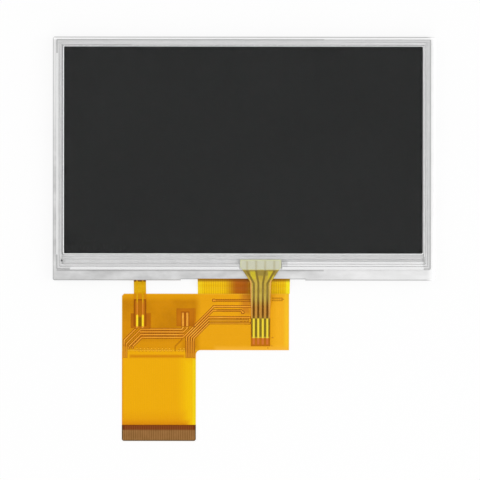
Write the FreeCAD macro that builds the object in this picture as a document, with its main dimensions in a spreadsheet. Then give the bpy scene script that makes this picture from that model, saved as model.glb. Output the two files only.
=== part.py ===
import FreeCAD, Part
import math
import os
import re
import Sketcher

# A 4.3 inch display module with a resistive touch panel, in millimetres. It lies on its rear
# plate with the screen facing +Z and the flexible circuits leaving towards -Y.
# The origin is the middle of the rear plate's outer face.

SIZES = (
    # Pressed front bezel
    ("module_width", 105.5, "outer width of the bezel"),
    ("module_height", 67.2, "outer height of the bezel"),
    ("bezel_sheet", 0.2, "thickness of the bezel's sheet"),
    ("bezel_corner", 0.5, "outer corner radius of the bezel, seen from the front"),
    ("bezel_bend", 0.3, "outer radius of the bend between the bezel's face and walls"),
    ("bezel_skirt_gap", 0.3, "height of the walls' lower edge over the surface"),
    ("lip_side", 3.05, "width of the bezel's face at the sides of its window"),
    ("lip_upper", 2.7, "width of the bezel's face over its window"),
    ("lip_lower", 7.4, "width of the bezel's face under its window"),
    ("window_corner", 0.3, "corner radius of the window"),
    ("exit_gap_left", 4.7, "room left of the main flex in the bezel's cut-away"),
    ("exit_gap_right", 4.3, "room right of the main flex in the cut-away"),
    ("exit_recess", 0.5, "depth of the cut-away in the bezel's face"),
    # Rear plate
    ("plate_sheet", 0.2, "thickness of the rear plate's sheet"),
    ("plate_fit", 0.05, "gap between the bezel's walls and the plate's walls"),
    ("plate_wall_gap", 1.1, "gap between the plate's walls and the bezel's face"),
    ("plate_corner", 1.0, "corner radius of the plate's base"),
    ("plate_corner_gap", 0.2, "length of wall left out past the round of each corner"),
    ("plate_bend", 0.15, "rounding of the base's outer edge"),
    # Snaps between the bezel and the rear plate
    ("snap_width", 4.0, "width of a snap window in the bezel"),
    ("snap_height", 0.7, "height of a snap window"),
    ("snap_level", 1.0, "height of a snap window's middle"),
    ("snap_exit_gap", 4.7, "distance of the inner long-side snaps from the cut-away"),
    ("snap_end_gap", 9.75, "distance of the outer long-side snaps from the bezel's corners"),
    ("snap_upper", 9.0, "place of the upper short-side snaps"),
    ("snap_lower", -12.8, "place of the lower short-side snaps"),
    ("lance_fit", 0.1, "gap round a lance in its snap window"),
    # Moulded light frame
    ("frame_fit", 0.05, "gap between the rear plate's walls and the frame"),
    ("frame_head_gap", 0.05, "gap between the frame and the bezel's face"),
    ("frame_side_wall", 2.05, "width of the frame beside the light guide's pocket"),
    ("frame_upper_wall", 2.1, "width of the frame over that pocket"),
    ("frame_lower_wall", 1.7, "width of the frame under that pocket"),
    ("glass_side_wall", 1.15, "width of the frame beside the glass"),
    ("glass_upper_wall", 1.2, "width of the frame over the glass"),
    ("glass_lower_wall", 1.1, "width of the frame under the glass"),
    ("pin_diameter", 1.2, "diameter of the frame's locating pins"),
    ("pin_fit", 0.05, "gap round a pin in the rear plate's hole"),
    ("pin_inset", 1.15, "distance of a pin from the frame's outer sides"),
    ("sill_gap", 0.47, "gap between the main flex and the frame's wall under it"),
    ("slot_gap", 0.15, "gap round the light strip's tail in the walls"),
    # Back light
    ("reflector_sheet", 0.1, "thickness of the reflector"),
    ("guide_sheet", 0.6, "thickness of the light guide"),
    ("guide_fit", 0.2, "gap between the light guide and its pocket"),
    ("film_sheet", 0.1, "thickness of the diffuser and of each prism sheet"),
    ("film_gap", 0.4, "gap between the light strip and the films beside it"),
    ("led_count", 10, "number of light-emitting diodes"),
    ("led_length", 3.0, "length of a diode"),
    ("led_depth", 1.2, "depth of a diode, away from the light guide"),
    ("led_recess", 0.3, "depth of the light-giving cup in a diode"),
    ("led_rim", 0.12, "wall round the cup of a diode"),
    ("led_gap", 0.05, "gap between the diodes and the light guide"),
    ("led_back_gap", 0.35, "gap between the diodes and the frame"),
    ("led_end_gap", 3.8, "distance of the last diodes from the ends of the light strip"),
    ("strip_sheet", 0.1, "thickness of the light strip's film"),
    ("strip_end_gap", 3.2, "gap between the light strip's ends and the frame"),
    ("strip_gap", 0.1, "gap between the light strip's lower edge and the frame"),
    ("strip_overlap", 0.9, "width by which the light strip covers the light guide"),
    # Liquid crystal cell
    ("rim_tape_sheet", 0.05, "thickness of the black rim tape"),
    ("rim_tape_width", 0.9, "width by which the rim tape covers the sheets"),
    ("rear_polarizer_sheet", 0.15, "thickness of the rear polarizer"),
    ("front_polarizer_sheet", 0.15, "thickness of the front polarizer"),
    ("glass_sheet", 0.5, "thickness of each glass of the cell"),
    ("glass_fit", 0.1, "gap between the cell and the frame"),
    ("ledge_depth", 4.3, "width of the array glass that the filter glass leaves free"),
    ("polarizer_inset", 0.7, "distance of the polarizers from the edges of the glass"),
    ("lip_gap", 0.15, "gap between the front polarizer and the bezel's lip"),
    ("chip_length", 20.0, "length of the driver chip"),
    ("chip_depth", 1.2, "width of the driver chip"),
    ("chip_sheet", 0.3, "thickness of the driver chip"),
    ("chip_gap", 0.7, "distance of the chip from the filter glass"),
    ("bond_sheet", 0.02, "thickness of the bond film under the main flex"),
    ("bond_depth", 1.6, "width of the bond on the glass ledge"),
    # Main flexible circuit
    ("copper_sheet", 0.035, "thickness of the copper on the flexible circuits"),
    ("flex_sheet", 0.065, "thickness of the main flex's film"),
    ("cover_sheet", 0.035, "thickness of the front cover film"),
    ("neck_width", 25.5, "width of the main flex where it leaves the module"),
    ("neck_shift", -0.05, "middle of that neck, across"),
    ("neck_margin", 0.66, "distance of the outer conductors from the neck's edges"),
    ("neck_bend_inset", 0.7, "distance inside the module at which the neck starts to bend down"),
    ("flex_drop", 3.75, "distance of the main flex's wide part from the module"),
    ("bend_gap", 0.25, "distance of a bend's end from the wide part's upper edge"),
    ("flex_reach_left", 21.0, "width of the wide part left of the neck"),
    ("flex_step_right", 0.2, "width by which the neck is wider on the right"),
    ("flex_wide_height", 15.65, "height of the wide part"),
    ("flex_corner_cut", 0.6, "bevel at the wide part's upper left corner"),
    ("tongue_margin", 0.5, "distance of the outer contacts' middles from the tongue's edges"),
    ("tongue_length", 25.15, "length of the tongue that plugs in"),
    ("tongue_fillet", 1.3, "fillet between the wide part and the tongue"),
    ("tongue_corner_cut", 0.4, "bevels at the end of the tongue"),
    ("stiffener_sheet", 0.2, "thickness of the stiffener at the tongue's end"),
    ("stiffener_depth", 4.45, "length of the stiffener"),
    ("stiffener_gap", 0.1, "gap between the stiffener and the cover film"),
    ("contact_count", 40, "number of contacts"),
    ("contact_pitch", 0.5, "distance from one contact to the next"),
    ("contact_width", 0.3, "width of a contact"),
    ("contact_length", 4.0, "length of a contact"),
    ("line_width", 0.16, "width of a conductor between its ends"),
    ("line_upper_gap", 1.25, "distance of the first crossing conductor from the upper edge"),
    ("line_lower_gap", 1.14, "distance of the last crossing conductor from the lower edge"),
    ("line_turn", 0.8, "bevel where a conductor turns"),
    # Front copper of the main flex, places below the wide part's upper edge
    ("trace_width", 0.32, "width of a front trace"),
    ("trace_pitch", 0.75, "distance between the long rows of front traces"),
    ("trace_gap", 0.65, "distance of a trace's blind end from the trace beside it"),
    ("lamp_row_drop", 9.85, "place of the first long row of front traces"),
    ("lamp_row_inset", 5.2, "distance of the third row's left turn from the left edge"),
    ("trace_turn_step", 0.3, "step from that turn to the fourth row's"),
    ("trace_slant_end", 1.0, "distance of the lower ends of those rows from the lower edge"),
    ("trace_left_inset", 0.6, "distance of the outermost trace from the left edge"),
    ("trace_down_pitch", 0.66, "distance between front traces down the tongue's sides"),
    ("touch_drop_one", 1.85, "place of the first touch row"),
    ("touch_drop_two", 3.55, "place of the second touch row"),
    ("touch_drop_three", 6.55, "place of the third touch row"),
    ("touch_drop_four", 8.15, "place of the fourth touch row"),
    ("via_drop", 4.65, "place of the row that ends at the via beside the touch tail"),
    ("via_reach", 4.9, "distance of that via from the touch tail's middle"),
    ("via_step", 0.5, "slant from that row to its via"),
    ("blind_drop", 7.35, "place of the row that ends short of the touch tail's pads"),
    ("blind_reach", 3.3, "distance of its end from the touch tail's middle"),
    ("touch_row_inset", 4.95, "distance of the second touch row's turn from the tongue's side"),
    ("touch_slant_pitch", 0.82, "step across the module from one slant to the next"),
    ("tongue_trace_inset", 0.6, "distance of the last front trace from the tongue's right edge"),
    ("trace_end_drop", 2.0, "length of the front traces on the tongue"),
    ("spare_pad_inset", 3.6, "distance of the first spare pad from the tongue's right edge"),
    ("spare_pad_pitch", 1.2, "distance between the spare pads"),
    ("spare_pad_drop", 5.25, "place of the spare pads' upper ends"),
    ("spare_pad_length", 4.3, "length of the spare pads"),
    ("pad_width", 0.6, "width of a solder pad"),
    ("pad_drop", 1.8, "length by which a pad shows past the end of the touch tail"),
    ("lamp_pad_drop", 0.3, "length by which a pad shows past the light strip's tail"),
    ("cover_window_margin", 1.5, "gap at the sides of the pads in their window in the cover film"),
    ("window_step", 0.5, "gap at the ends of the pads in their window"),
    ("spare_window_rise", 1.2, "gap over the spare pads in their window"),
    ("solder_inset", 0.4, "distance of the solder from the ends of a finger"),
    # Tail of the light strip
    ("lamp_tail_inset", 5.0, "distance of the tail's middle from the main flex's left edge"),
    ("lamp_tail_width", 3.4, "width of that tail"),
    ("lamp_tail_reach", 9.05, "length of that tail over the wide part"),
    ("lamp_bend_gap", 0.1, "distance of its bend from the module"),
    ("lamp_finger_pitch", 1.55, "distance between its two fingers"),
    ("lamp_line_width", 0.4, "width of its two lines"),
    ("finger_width", 0.55, "width of a finger"),
    ("lamp_finger_length", 3.1, "length of its fingers"),
    # Touch panel
    ("mount_tape_sheet", 0.1, "thickness of the tape that holds the touch panel"),
    ("mount_tape_inset", 0.5, "distance of the tape from the panel's edge"),
    ("mount_tape_gap", 0.4, "distance of the tape from the bezel's window"),
    ("touch_margin_left", 0.95, "width of the bezel that shows left of the touch panel"),
    ("touch_margin_right", 1.25, "width of the bezel that shows right of it"),
    ("touch_margin_upper", 0.7, "width of the bezel that shows over it"),
    ("touch_margin_lower", 2.9, "width of the bezel that shows under it"),
    ("touch_corner", 0.4, "corner radius of the touch panel"),
    ("touch_glass_sheet", 0.7, "thickness of the touch glass"),
    ("touch_film_sheet", 0.19, "thickness of the touch film"),
    ("touch_film_inset", 0.1, "distance of the film from the edge of the glass"),
    ("spacer_width", 0.8, "width of the adhesive between glass and film"),
    ("bar_width", 0.5, "width of the silver bars on glass and film"),
    ("bar_sheet", 0.02, "thickness of the silver bars"),
    ("bar_gap", 0.15, "distance of the bars from the adhesive and from each other"),
    # Tail of the touch panel
    ("tail_sheet", 0.1, "thickness of the touch tail's film"),
    ("tail_ink", 0.03, "thickness of the touch tail's conductors"),
    ("tail_inset", 8.1, "distance of the touch tail's middle from the neck's right edge"),
    ("tail_seal_width", 11.4, "width of the tail between glass and film"),
    ("tail_seal_depth", 2.9, "length of the tail between glass and film"),
    ("tail_shoulder", 0.8, "length of the part of it that narrows to the panel's edge"),
    ("tail_flare_width", 9.7, "width of the tail at the panel's edge"),
    ("tail_flare_drop", 0.3, "length of the flare below the panel's edge"),
    ("tail_neck_width", 5.7, "width of the tail below the flare"),
    ("tail_neck_drop", 3.3, "distance of the narrow tail's upper end from the panel"),
    ("tail_fillet", 2.0, "fillets between the flare and the narrow tail"),
    ("tail_end_width", 4.85, "width of the tail at its end"),
    ("tail_reach", 12.25, "length of the tail over the wide part of the main flex"),
    ("tail_bend_gap", 0.5, "distance of the tail's upper bend from the panel"),
    ("tail_landing", 5.25, "distance of the lower bend from the wide part's upper edge"),
    ("tail_notch_gap", 0.2, "gap between the tail and the adhesive beside it"),
    ("tail_line_count", 4, "number of the tail's conductors"),
    ("tail_line_pitch", 1.25, "distance between the tail's conductors"),
    ("tail_line_width", 0.55, "width of the tail's conductors"),
    ("tail_line_inset", 0.4, "distance of the conductors from the turns of the tail's outline"),
    ("tail_head_pitch", 2.5, "distance between the conductors at the panel"),
    ("tail_finger_length", 5.1, "length of the tail's fingers"),
)

PLACES = (
    # Levels of the stack, from the surface up
    ("reflector_top", "plate_sheet + reflector_sheet"),
    ("guide_top", "reflector_top + guide_sheet"),
    ("diffuser_top", "guide_top + film_sheet"),
    ("lower_prism_top", "diffuser_top + film_sheet"),
    ("upper_prism_top", "lower_prism_top + film_sheet"),
    ("rim_tape_top", "upper_prism_top + rim_tape_sheet"),
    ("rear_polarizer_top", "rim_tape_top + rear_polarizer_sheet"),
    ("array_top", "rear_polarizer_top + glass_sheet"),
    ("filter_top", "array_top + glass_sheet"),
    ("front_polarizer_top", "filter_top + front_polarizer_sheet"),
    ("bezel_under", "front_polarizer_top + lip_gap"),
    ("bezel_top", "bezel_under + bezel_sheet"),
    ("mount_tape_top", "bezel_top + mount_tape_sheet"),
    ("touch_glass_top", "mount_tape_top + touch_glass_sheet"),
    ("spacer_top", "touch_glass_top + tail_sheet + tail_ink"),
    ("frame_top", "bezel_under - frame_head_gap"),
    ("plate_wall", "bezel_under - plate_wall_gap"),
    # Main flex across the module
    ("neck_left", "neck_shift - neck_width / 2"),
    ("neck_right", "neck_shift + neck_width / 2"),
    ("flex_left", "neck_left - flex_reach_left"),
    ("flex_right", "neck_right - flex_step_right"),
    ("tongue_width", "(contact_count - 1) * contact_pitch + 2 * tongue_margin"),
    ("tongue_right", "flex_left + tongue_width"),
    ("lamp_tail_shift", "flex_left + lamp_tail_inset"),
    ("lamp_tail_left", "lamp_tail_shift - lamp_tail_width / 2"),
    ("lamp_tail_right", "lamp_tail_shift + lamp_tail_width / 2"),
    # Bezel, rear plate and frame, seen from the front
    ("bezel_x", "module_width / 2"),
    ("bezel_y", "module_height / 2"),
    ("window_x", "bezel_x - lip_side"),
    ("window_top", "bezel_y - lip_upper"),
    ("window_bottom", "lip_lower - bezel_y"),
    ("exit_left", "neck_left - exit_gap_left"),
    ("exit_right", "neck_right + exit_gap_right"),
    ("snap_inner_left", "exit_left - snap_exit_gap"),
    ("snap_inner_right", "exit_right + snap_exit_gap"),
    ("snap_outer", "bezel_x - snap_end_gap"),
    ("plate_x", "bezel_x - bezel_sheet - plate_fit"),
    ("plate_y", "bezel_y - bezel_sheet - plate_fit"),
    ("wall_start", "plate_corner + plate_corner_gap"),
    ("lance_reach", "plate_fit + bezel_sheet"),
    ("frame_x", "plate_x - plate_sheet - frame_fit"),
    ("frame_y", "plate_y - plate_sheet - frame_fit"),
    ("pocket_x", "frame_x - frame_side_wall"),
    ("pocket_top", "frame_y - frame_upper_wall"),
    ("pocket_bottom", "frame_lower_wall - frame_y"),
    ("pin_x", "frame_x - pin_inset"),
    ("pin_y", "frame_y - pin_inset"),
    # Back light
    ("guide_bottom", "pocket_bottom + led_back_gap + led_depth + led_gap"),
    ("strip_x", "pocket_x - strip_end_gap"),
    ("strip_bottom", "pocket_bottom + strip_gap"),
    ("strip_top", "guide_bottom + strip_overlap"),
    ("film_bottom", "strip_top + film_gap"),
    ("led_first", "led_end_gap - strip_x"),
    ("led_pitch", "-2 * led_first / (led_count - 1)"),
    # Liquid crystal cell
    ("glass_x", "frame_x - glass_side_wall - glass_fit"),
    ("glass_top", "frame_y - glass_upper_wall - glass_fit"),
    ("glass_bottom", "glass_lower_wall + glass_fit - frame_y"),
    ("filter_bottom", "glass_bottom + ledge_depth"),
    ("polarizer_x", "glass_x - polarizer_inset"),
    ("polarizer_top", "glass_top - polarizer_inset"),
    ("polarizer_bottom", "filter_bottom + polarizer_inset"),
    ("chip_top", "filter_bottom - chip_gap"),
    # Main flex along the module, and its layers from the surface up
    ("neck_top", "glass_bottom + bond_depth"),
    ("neck_start", "array_top + bond_sheet"),
    ("sill_level", "neck_start - sill_gap"),
    ("flex_top", "-bezel_y - flex_drop"),
    ("flex_bottom", "flex_top - flex_wide_height"),
    ("tongue_bottom", "flex_bottom - tongue_length"),
    ("stiffener_top", "tongue_bottom + stiffener_depth"),
    ("neck_bend_top", "neck_bend_inset - bezel_y"),
    ("neck_bend_bottom", "flex_top + bend_gap"),
    ("neck_run", "neck_bend_top - neck_bend_bottom"),
    ("neck_radius", "(neck_run ^ 2 + neck_start ^ 2) / (4 * neck_start)"),
    ("film_under", "copper_sheet"),
    ("film_over", "film_under + flex_sheet"),
    ("cover_under", "film_over + copper_sheet"),
    ("cover_over", "cover_under + cover_sheet"),
    # Conductors and front traces
    ("line_neck_pitch", "(neck_width - 2 * neck_margin) / (contact_count - 1)"),
    ("line_row_top", "flex_top - line_upper_gap"),
    ("line_row_pitch", "(line_row_top - flex_bottom - line_lower_gap) / (contact_count - 1)"),
    ("lamp_row_top", "flex_top - lamp_row_drop"),
    ("lamp_row_left", "flex_left + lamp_row_inset"),
    ("touch_row_one", "flex_top - touch_drop_one"),
    ("touch_row_two", "flex_top - touch_drop_two"),
    ("touch_row_three", "flex_top - touch_drop_three"),
    ("touch_row_four", "flex_top - touch_drop_four"),
    ("via_row", "flex_top - via_drop"),
    ("blind_row", "flex_top - blind_drop"),
    ("touch_row_left", "tongue_right + touch_row_inset"),
    ("touch_slant", "touch_row_left - touch_row_two"),
    ("slant_end", "flex_bottom + trace_slant_end"),
    ("trace_end", "flex_bottom - trace_end_drop"),
    ("spare_pad_left", "tongue_right - spare_pad_inset"),
    ("spare_pad_top", "flex_top - spare_pad_drop"),
    ("spare_pad_bottom", "spare_pad_top - spare_pad_length"),
    # Tail of the light strip, from the level of the light guide to the cover film
    ("lamp_tail_end", "flex_top - lamp_tail_reach"),
    ("lamp_bend_top", "-bezel_y - lamp_bend_gap"),
    ("lamp_bend_bottom", "flex_top - bend_gap"),
    ("lamp_drop", "guide_top - cover_over"),
    ("lamp_run", "lamp_bend_top - lamp_bend_bottom"),
    ("lamp_radius", "(lamp_run ^ 2 + lamp_drop ^ 2) / (4 * lamp_drop)"),
    # Touch panel and its tail
    ("touch_left", "touch_margin_left - bezel_x"),
    ("touch_right", "bezel_x - touch_margin_right"),
    ("touch_top", "bezel_y - touch_margin_upper"),
    ("touch_bottom", "touch_margin_lower - bezel_y"),
    ("tail_shift", "neck_right - tail_inset"),
    ("tail_left", "tail_shift - tail_seal_width / 2"),
    ("tail_right", "tail_shift + tail_seal_width / 2"),
    ("tail_seal_top", "touch_bottom + tail_seal_depth"),
    ("tail_seal_shoulder", "touch_bottom + tail_shoulder"),
    ("tail_flare_bottom", "touch_bottom - tail_flare_drop"),
    ("tail_neck_top", "touch_bottom - tail_neck_drop"),
    ("tail_end", "flex_top - tail_reach"),
    ("tail_bend_top", "touch_bottom - tail_bend_gap"),
    ("tail_bend_bottom", "flex_top - tail_landing"),
    ("tail_drop", "touch_glass_top - cover_over"),
    ("tail_run", "tail_bend_top - tail_bend_bottom"),
    ("tail_radius", "(tail_run ^ 2 + tail_drop ^ 2) / (4 * tail_drop)"),
)

NEAR = 1e-6  # the largest distance between two points that are the same

DOC = FreeCAD.newDocument("display_module")
KNOWN = {}
PIECES = []


def bound(formula):
    """Put each size's or place's sheet in front of its name."""
    return re.sub(r"[a-z_]+", lambda word: KNOWN.get(word.group(), "") + word.group(), str(formula))


def value(formula):
    """Work out a formula in the names of the sheet, in millimetres."""
    return float(SHEET.evalExpression(bound(formula)))


def fill_sheet():
    """Write the driving sizes, one row each: name, value and meaning."""
    sheet = DOC.addObject("Spreadsheet::Sheet", "Sizes")
    for row, (name, number, meaning) in enumerate(SIZES, 1):
        sheet.set("A%d" % row, name)
        sheet.set("B%d" % row, str(number))
        sheet.set("C%d" % row, meaning)
        sheet.setAlias("B%d" % row, name)
        KNOWN[name] = "Sizes."
    DOC.recompute()
    return sheet


def fill_places():
    """Work out the places that follow from the sizes."""
    places = DOC.addObject("App::VarSet", "Places")
    for name, formula in PLACES:
        places.addProperty("App::PropertyFloat", name, "Places", "")
        places.setExpression(name, bound(formula))
        KNOWN[name] = "Places."
    DOC.recompute()


SHEET = fill_sheet()
fill_places()


def new_body(label):
    """Start a piece that is built up from features."""
    body = DOC.addObject("PartDesign::Body", label)
    body.Label = label
    PIECES.append(body)
    return body


def sketch_in(body, plane, level="0"):
    """Start a sketch on one of a body's origin planes, moved along the plane's normal."""
    sketch = body.newObject("Sketcher::SketchObject", body.Label + "_sketch")
    support = next(item for item in body.Origin.OriginFeatures if item.Role == plane)
    sketch.AttachmentSupport = [(support, "")]
    sketch.MapMode = "FlatFace"
    sketch.setExpression("AttachmentOffset.Base.z", bound(level))
    return sketch


def measure(sketch, axis, edge, end, formula):
    """Tie one coordinate of an edge's end or centre to a formula."""
    number = sketch.addConstraint(Sketcher.Constraint(axis, edge, end, value(formula)))
    sketch.setExpression("Constraints[%d]" % number, bound(formula))


def pin(sketch, edge, end, place):
    """Tie one end of an edge to a place given by two formulas."""
    for axis, formula in zip(("DistanceX", "DistanceY"), place):
        measure(sketch, axis, edge, end, formula)


def point(place):
    """The point at a place given by two formulas."""
    return FreeCAD.Vector(value(place[0]), value(place[1]), 0)


def polygon(sketch, corners):
    """Close a loop of straight edges through the corners."""
    first = sketch.GeometryCount
    count = len(corners)
    for index in range(count):
        ends = point(corners[index]), point(corners[(index + 1) % count])
        sketch.addGeometry(Part.LineSegment(*ends), False)
    for index in range(count):
        after = first + (index + 1) % count
        sketch.addConstraint(Sketcher.Constraint("Coincident", first + index, 2, after, 1))
        pin(sketch, first + index, 1, corners[index])


def rectangle(sketch, left, right, low, high):
    """Close a rectangle between four formulas."""
    polygon(sketch, [(left, low), (right, low), (right, high), (left, high)])


def rounded_rectangle(sketch, left, right, low, high, radius):
    """Close a rectangle with four equal corner arcs."""
    x0, x1, y0, y1, r = (value(item) for item in (left, right, low, high, radius))
    first = sketch.GeometryCount
    centres = ((x1 - r, y0 + r), (x1 - r, y1 - r), (x0 + r, y1 - r), (x0 + r, y0 + r))
    sides = (((x0 + r, y0), (x1 - r, y0)), ((x1, y0 + r), (x1, y1 - r)),
             ((x1 - r, y1), (x0 + r, y1)), ((x0, y1 - r), (x0, y0 + r)))
    for corner in range(4):
        ends = [FreeCAD.Vector(x, y, 0) for x, y in sides[corner]]
        sketch.addGeometry(Part.LineSegment(*ends), False)
        circle = Part.Circle(FreeCAD.Vector(*centres[corner], 0), FreeCAD.Vector(0, 0, 1), r)
        start = (corner - 1) * math.pi / 2
        sketch.addGeometry(Part.ArcOfCircle(circle, start, start + math.pi / 2), False)
    for corner in range(4):
        side = first + 2 * corner
        arc = side + 1
        after = first + (2 * corner + 2) % 8
        sketch.addConstraint(Sketcher.Constraint("Tangent", side, 2, arc, 1))
        sketch.addConstraint(Sketcher.Constraint("Tangent", arc, 2, after, 1))
        sketch.addConstraint(Sketcher.Constraint("Vertical" if corner % 2 else "Horizontal", side))
        if corner:
            sketch.addConstraint(Sketcher.Constraint("Equal", first + 1, arc))
    number = sketch.addConstraint(Sketcher.Constraint("Radius", first + 1, r))
    sketch.setExpression("Constraints[%d]" % number, bound(radius))
    for side, axis, formula in ((0, "DistanceY", low), (2, "DistanceX", right),
                                (4, "DistanceY", high), (6, "DistanceX", left)):
        number = sketch.addConstraint(Sketcher.Constraint(axis, first + side, 1, value(formula)))
        sketch.setExpression("Constraints[%d]" % number, bound(formula))


def fold_rail(sketch, fold, lift):
    """Draw one face of a film that runs level, steps down in two equal bends and runs level again.

    The fold's radius is that of the stack's underside, and a face at some lift over that
    underside bends round the same two centres. The four edges run from top to end.
    """
    upper = "(%s) + (%s)" % (fold["start_level"], lift)
    lower = "(%s) + (%s)" % (fold["end_level"], lift)
    upper_radius = "(%s) + (%s)" % (fold["radius"], lift)
    lower_radius = value(fold["radius"]) - value(lift)
    upper_centre = FreeCAD.Vector(value(fold["bend_top"]), value(upper) - value(upper_radius), 0)
    lower_centre = FreeCAD.Vector(value(fold["bend_bottom"]), value(lower) + lower_radius, 0)
    slope = lower_centre - upper_centre
    turn = math.atan2(slope.y, slope.x)
    normal = FreeCAD.Vector(0, 0, 1)
    upper_circle = Part.Circle(upper_centre, normal, value(upper_radius))
    lower_circle = Part.Circle(lower_centre, normal, lower_radius)
    level = Part.LineSegment(point((fold["top"], upper)), point((fold["bend_top"], upper)))
    landing = Part.LineSegment(point((fold["bend_bottom"], lower)), point((fold["end"], lower)))
    edges = [sketch.addGeometry(shape, False) for shape in (
        level,
        Part.ArcOfCircle(upper_circle, math.pi / 2, turn),
        Part.ArcOfCircle(lower_circle, 1.5 * math.pi, turn + math.pi),
        landing)]
    pin(sketch, edges[0], 1, (fold["top"], upper))
    pin(sketch, edges[1], 1, (fold["bend_top"], upper))
    sketch.addConstraint(Sketcher.Constraint("Coincident", edges[0], 2, edges[1], 1))
    measure(sketch, "DistanceX", edges[1], 3, fold["bend_top"])
    radius = sketch.addConstraint(Sketcher.Constraint("Radius", edges[1], value(upper_radius)))
    sketch.setExpression("Constraints[%d]" % radius, bound(upper_radius))
    sketch.addConstraint(Sketcher.Constraint("Tangent", edges[1], 2, edges[2], 2))
    pin(sketch, edges[2], 1, (fold["bend_bottom"], lower))
    measure(sketch, "DistanceX", edges[2], 3, fold["bend_bottom"])
    sketch.addConstraint(Sketcher.Constraint("Coincident", edges[2], 1, edges[3], 1))
    pin(sketch, edges[3], 2, (fold["end"], lower))
    return edges


def fold_profile(sketch, fold, offset, sheet):
    """Close the section of one layer of a folded film, at its offset over the stack's underside."""
    under = fold_rail(sketch, fold, offset)
    over = fold_rail(sketch, fold, "(%s) + (%s)" % (offset, sheet))
    for edge, end in ((0, 1), (3, 2)):
        ends = [sketch.getPoint(rail[edge], end) for rail in (under, over)]
        closing = sketch.addGeometry(Part.LineSegment(*ends), False)
        sketch.addConstraint(Sketcher.Constraint("Coincident", closing, 1, under[edge], end))
        sketch.addConstraint(Sketcher.Constraint("Coincident", closing, 2, over[edge], end))


def circle(sketch, across, along, diameter):
    """Draw a circle round a place given by formulas."""
    centre = point((across, along))
    ring = Part.Circle(centre, FreeCAD.Vector(0, 0, 1), value(diameter) / 2)
    edge = sketch.addGeometry(ring, False)
    pin(sketch, edge, 3, (across, along))
    number = sketch.addConstraint(Sketcher.Constraint("Diameter", edge, value(diameter)))
    sketch.setExpression("Constraints[%d]" % number, bound(diameter))


def pad(body, sketch, length, reverse=False):
    """Raise a sketch along its plane's normal, or against it."""
    feature = body.newObject("PartDesign::Pad", body.Label + "_pad")
    feature.Profile = sketch
    feature.Reversed = reverse
    feature.setExpression("Length", bound(length))
    DOC.recompute()
    return feature


def pocket(body, sketch, depth, along_normal=False):
    """Cut a sketch against its plane's normal, or along it."""
    before = body.Shape.Volume
    feature = body.newObject("PartDesign::Pocket", body.Label + "_pocket")
    feature.Profile = sketch
    feature.Reversed = along_normal
    feature.setExpression("Length", bound(depth))
    DOC.recompute()
    if body.Shape.Volume >= before:
        raise RuntimeError("a pocket of %s cuts nothing" % body.Label)
    return feature


def upright_edges(shape, place):
    """Name the upright edges that stand at a place given by two formulas."""
    spot = point(place)
    names = []
    for number, edge in enumerate(shape.Edges, 1):
        low, high = (vertex.Point for vertex in (edge.Vertexes[0], edge.Vertexes[-1]))
        upright = math.hypot(low.x - high.x, low.y - high.y) < NEAR < abs(low.z - high.z)
        if upright and math.hypot(low.x - spot.x, low.y - spot.y) < NEAR:
            names.append("Edge%d" % number)
    return names


def round_rim(body, half_width, half_height, level, radius):
    """Round the outer edges of a rectangular shell at one level."""
    across, along, height = value(half_width), value(half_height), value(level)
    names = []
    for number, edge in enumerate(body.Shape.Edges, 1):
        box = edge.BoundBox
        at_level = abs(box.ZMin - height) + abs(box.ZMax - height) < NEAR
        outside = (abs(max(box.XMax, -box.XMin) - across) < NEAR
                   or abs(max(box.YMax, -box.YMin) - along) < NEAR)
        if at_level and outside:
            names.append("Edge%d" % number)
    add_fillet(body, names, radius)


def add_fillet(body, names, radius):
    """Round the named edges of a body."""
    base = body.Tip
    feature = body.newObject("PartDesign::Fillet", body.Label + "_fillet")
    feature.Base = (base, names)
    feature.setExpression("Radius", bound(radius))
    DOC.recompute()


def layer(label, sides, low, sheet, radius=None, openings=()):
    """Make a flat sheet between four sides, with rectangular openings."""
    body = new_body(label)
    outline = sketch_in(body, "XY_Plane", low)
    if radius:
        rounded_rectangle(outline, *sides, radius)
    else:
        rectangle(outline, *sides)
    for opening in openings:
        rectangle(outline, *opening)
    pad(body, outline, sheet)
    return body


def outset(sides, gap):
    """Move four sides outwards by a gap."""
    left, right, low, high = sides
    return "%s - (%s)" % (left, gap), "%s + (%s)" % (right, gap), "%s - (%s)" % (low, gap), \
        "%s + (%s)" % (high, gap)


def inset(sides, gap):
    """Move four sides inwards by a gap."""
    return outset(sides, "0 - (%s)" % gap)


LONG_SIDE_SNAPS = ("-snap_outer", "snap_inner_left", "snap_inner_right", "snap_outer")
SHORT_SIDE_SNAPS = ("snap_upper", "snap_lower")


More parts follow.
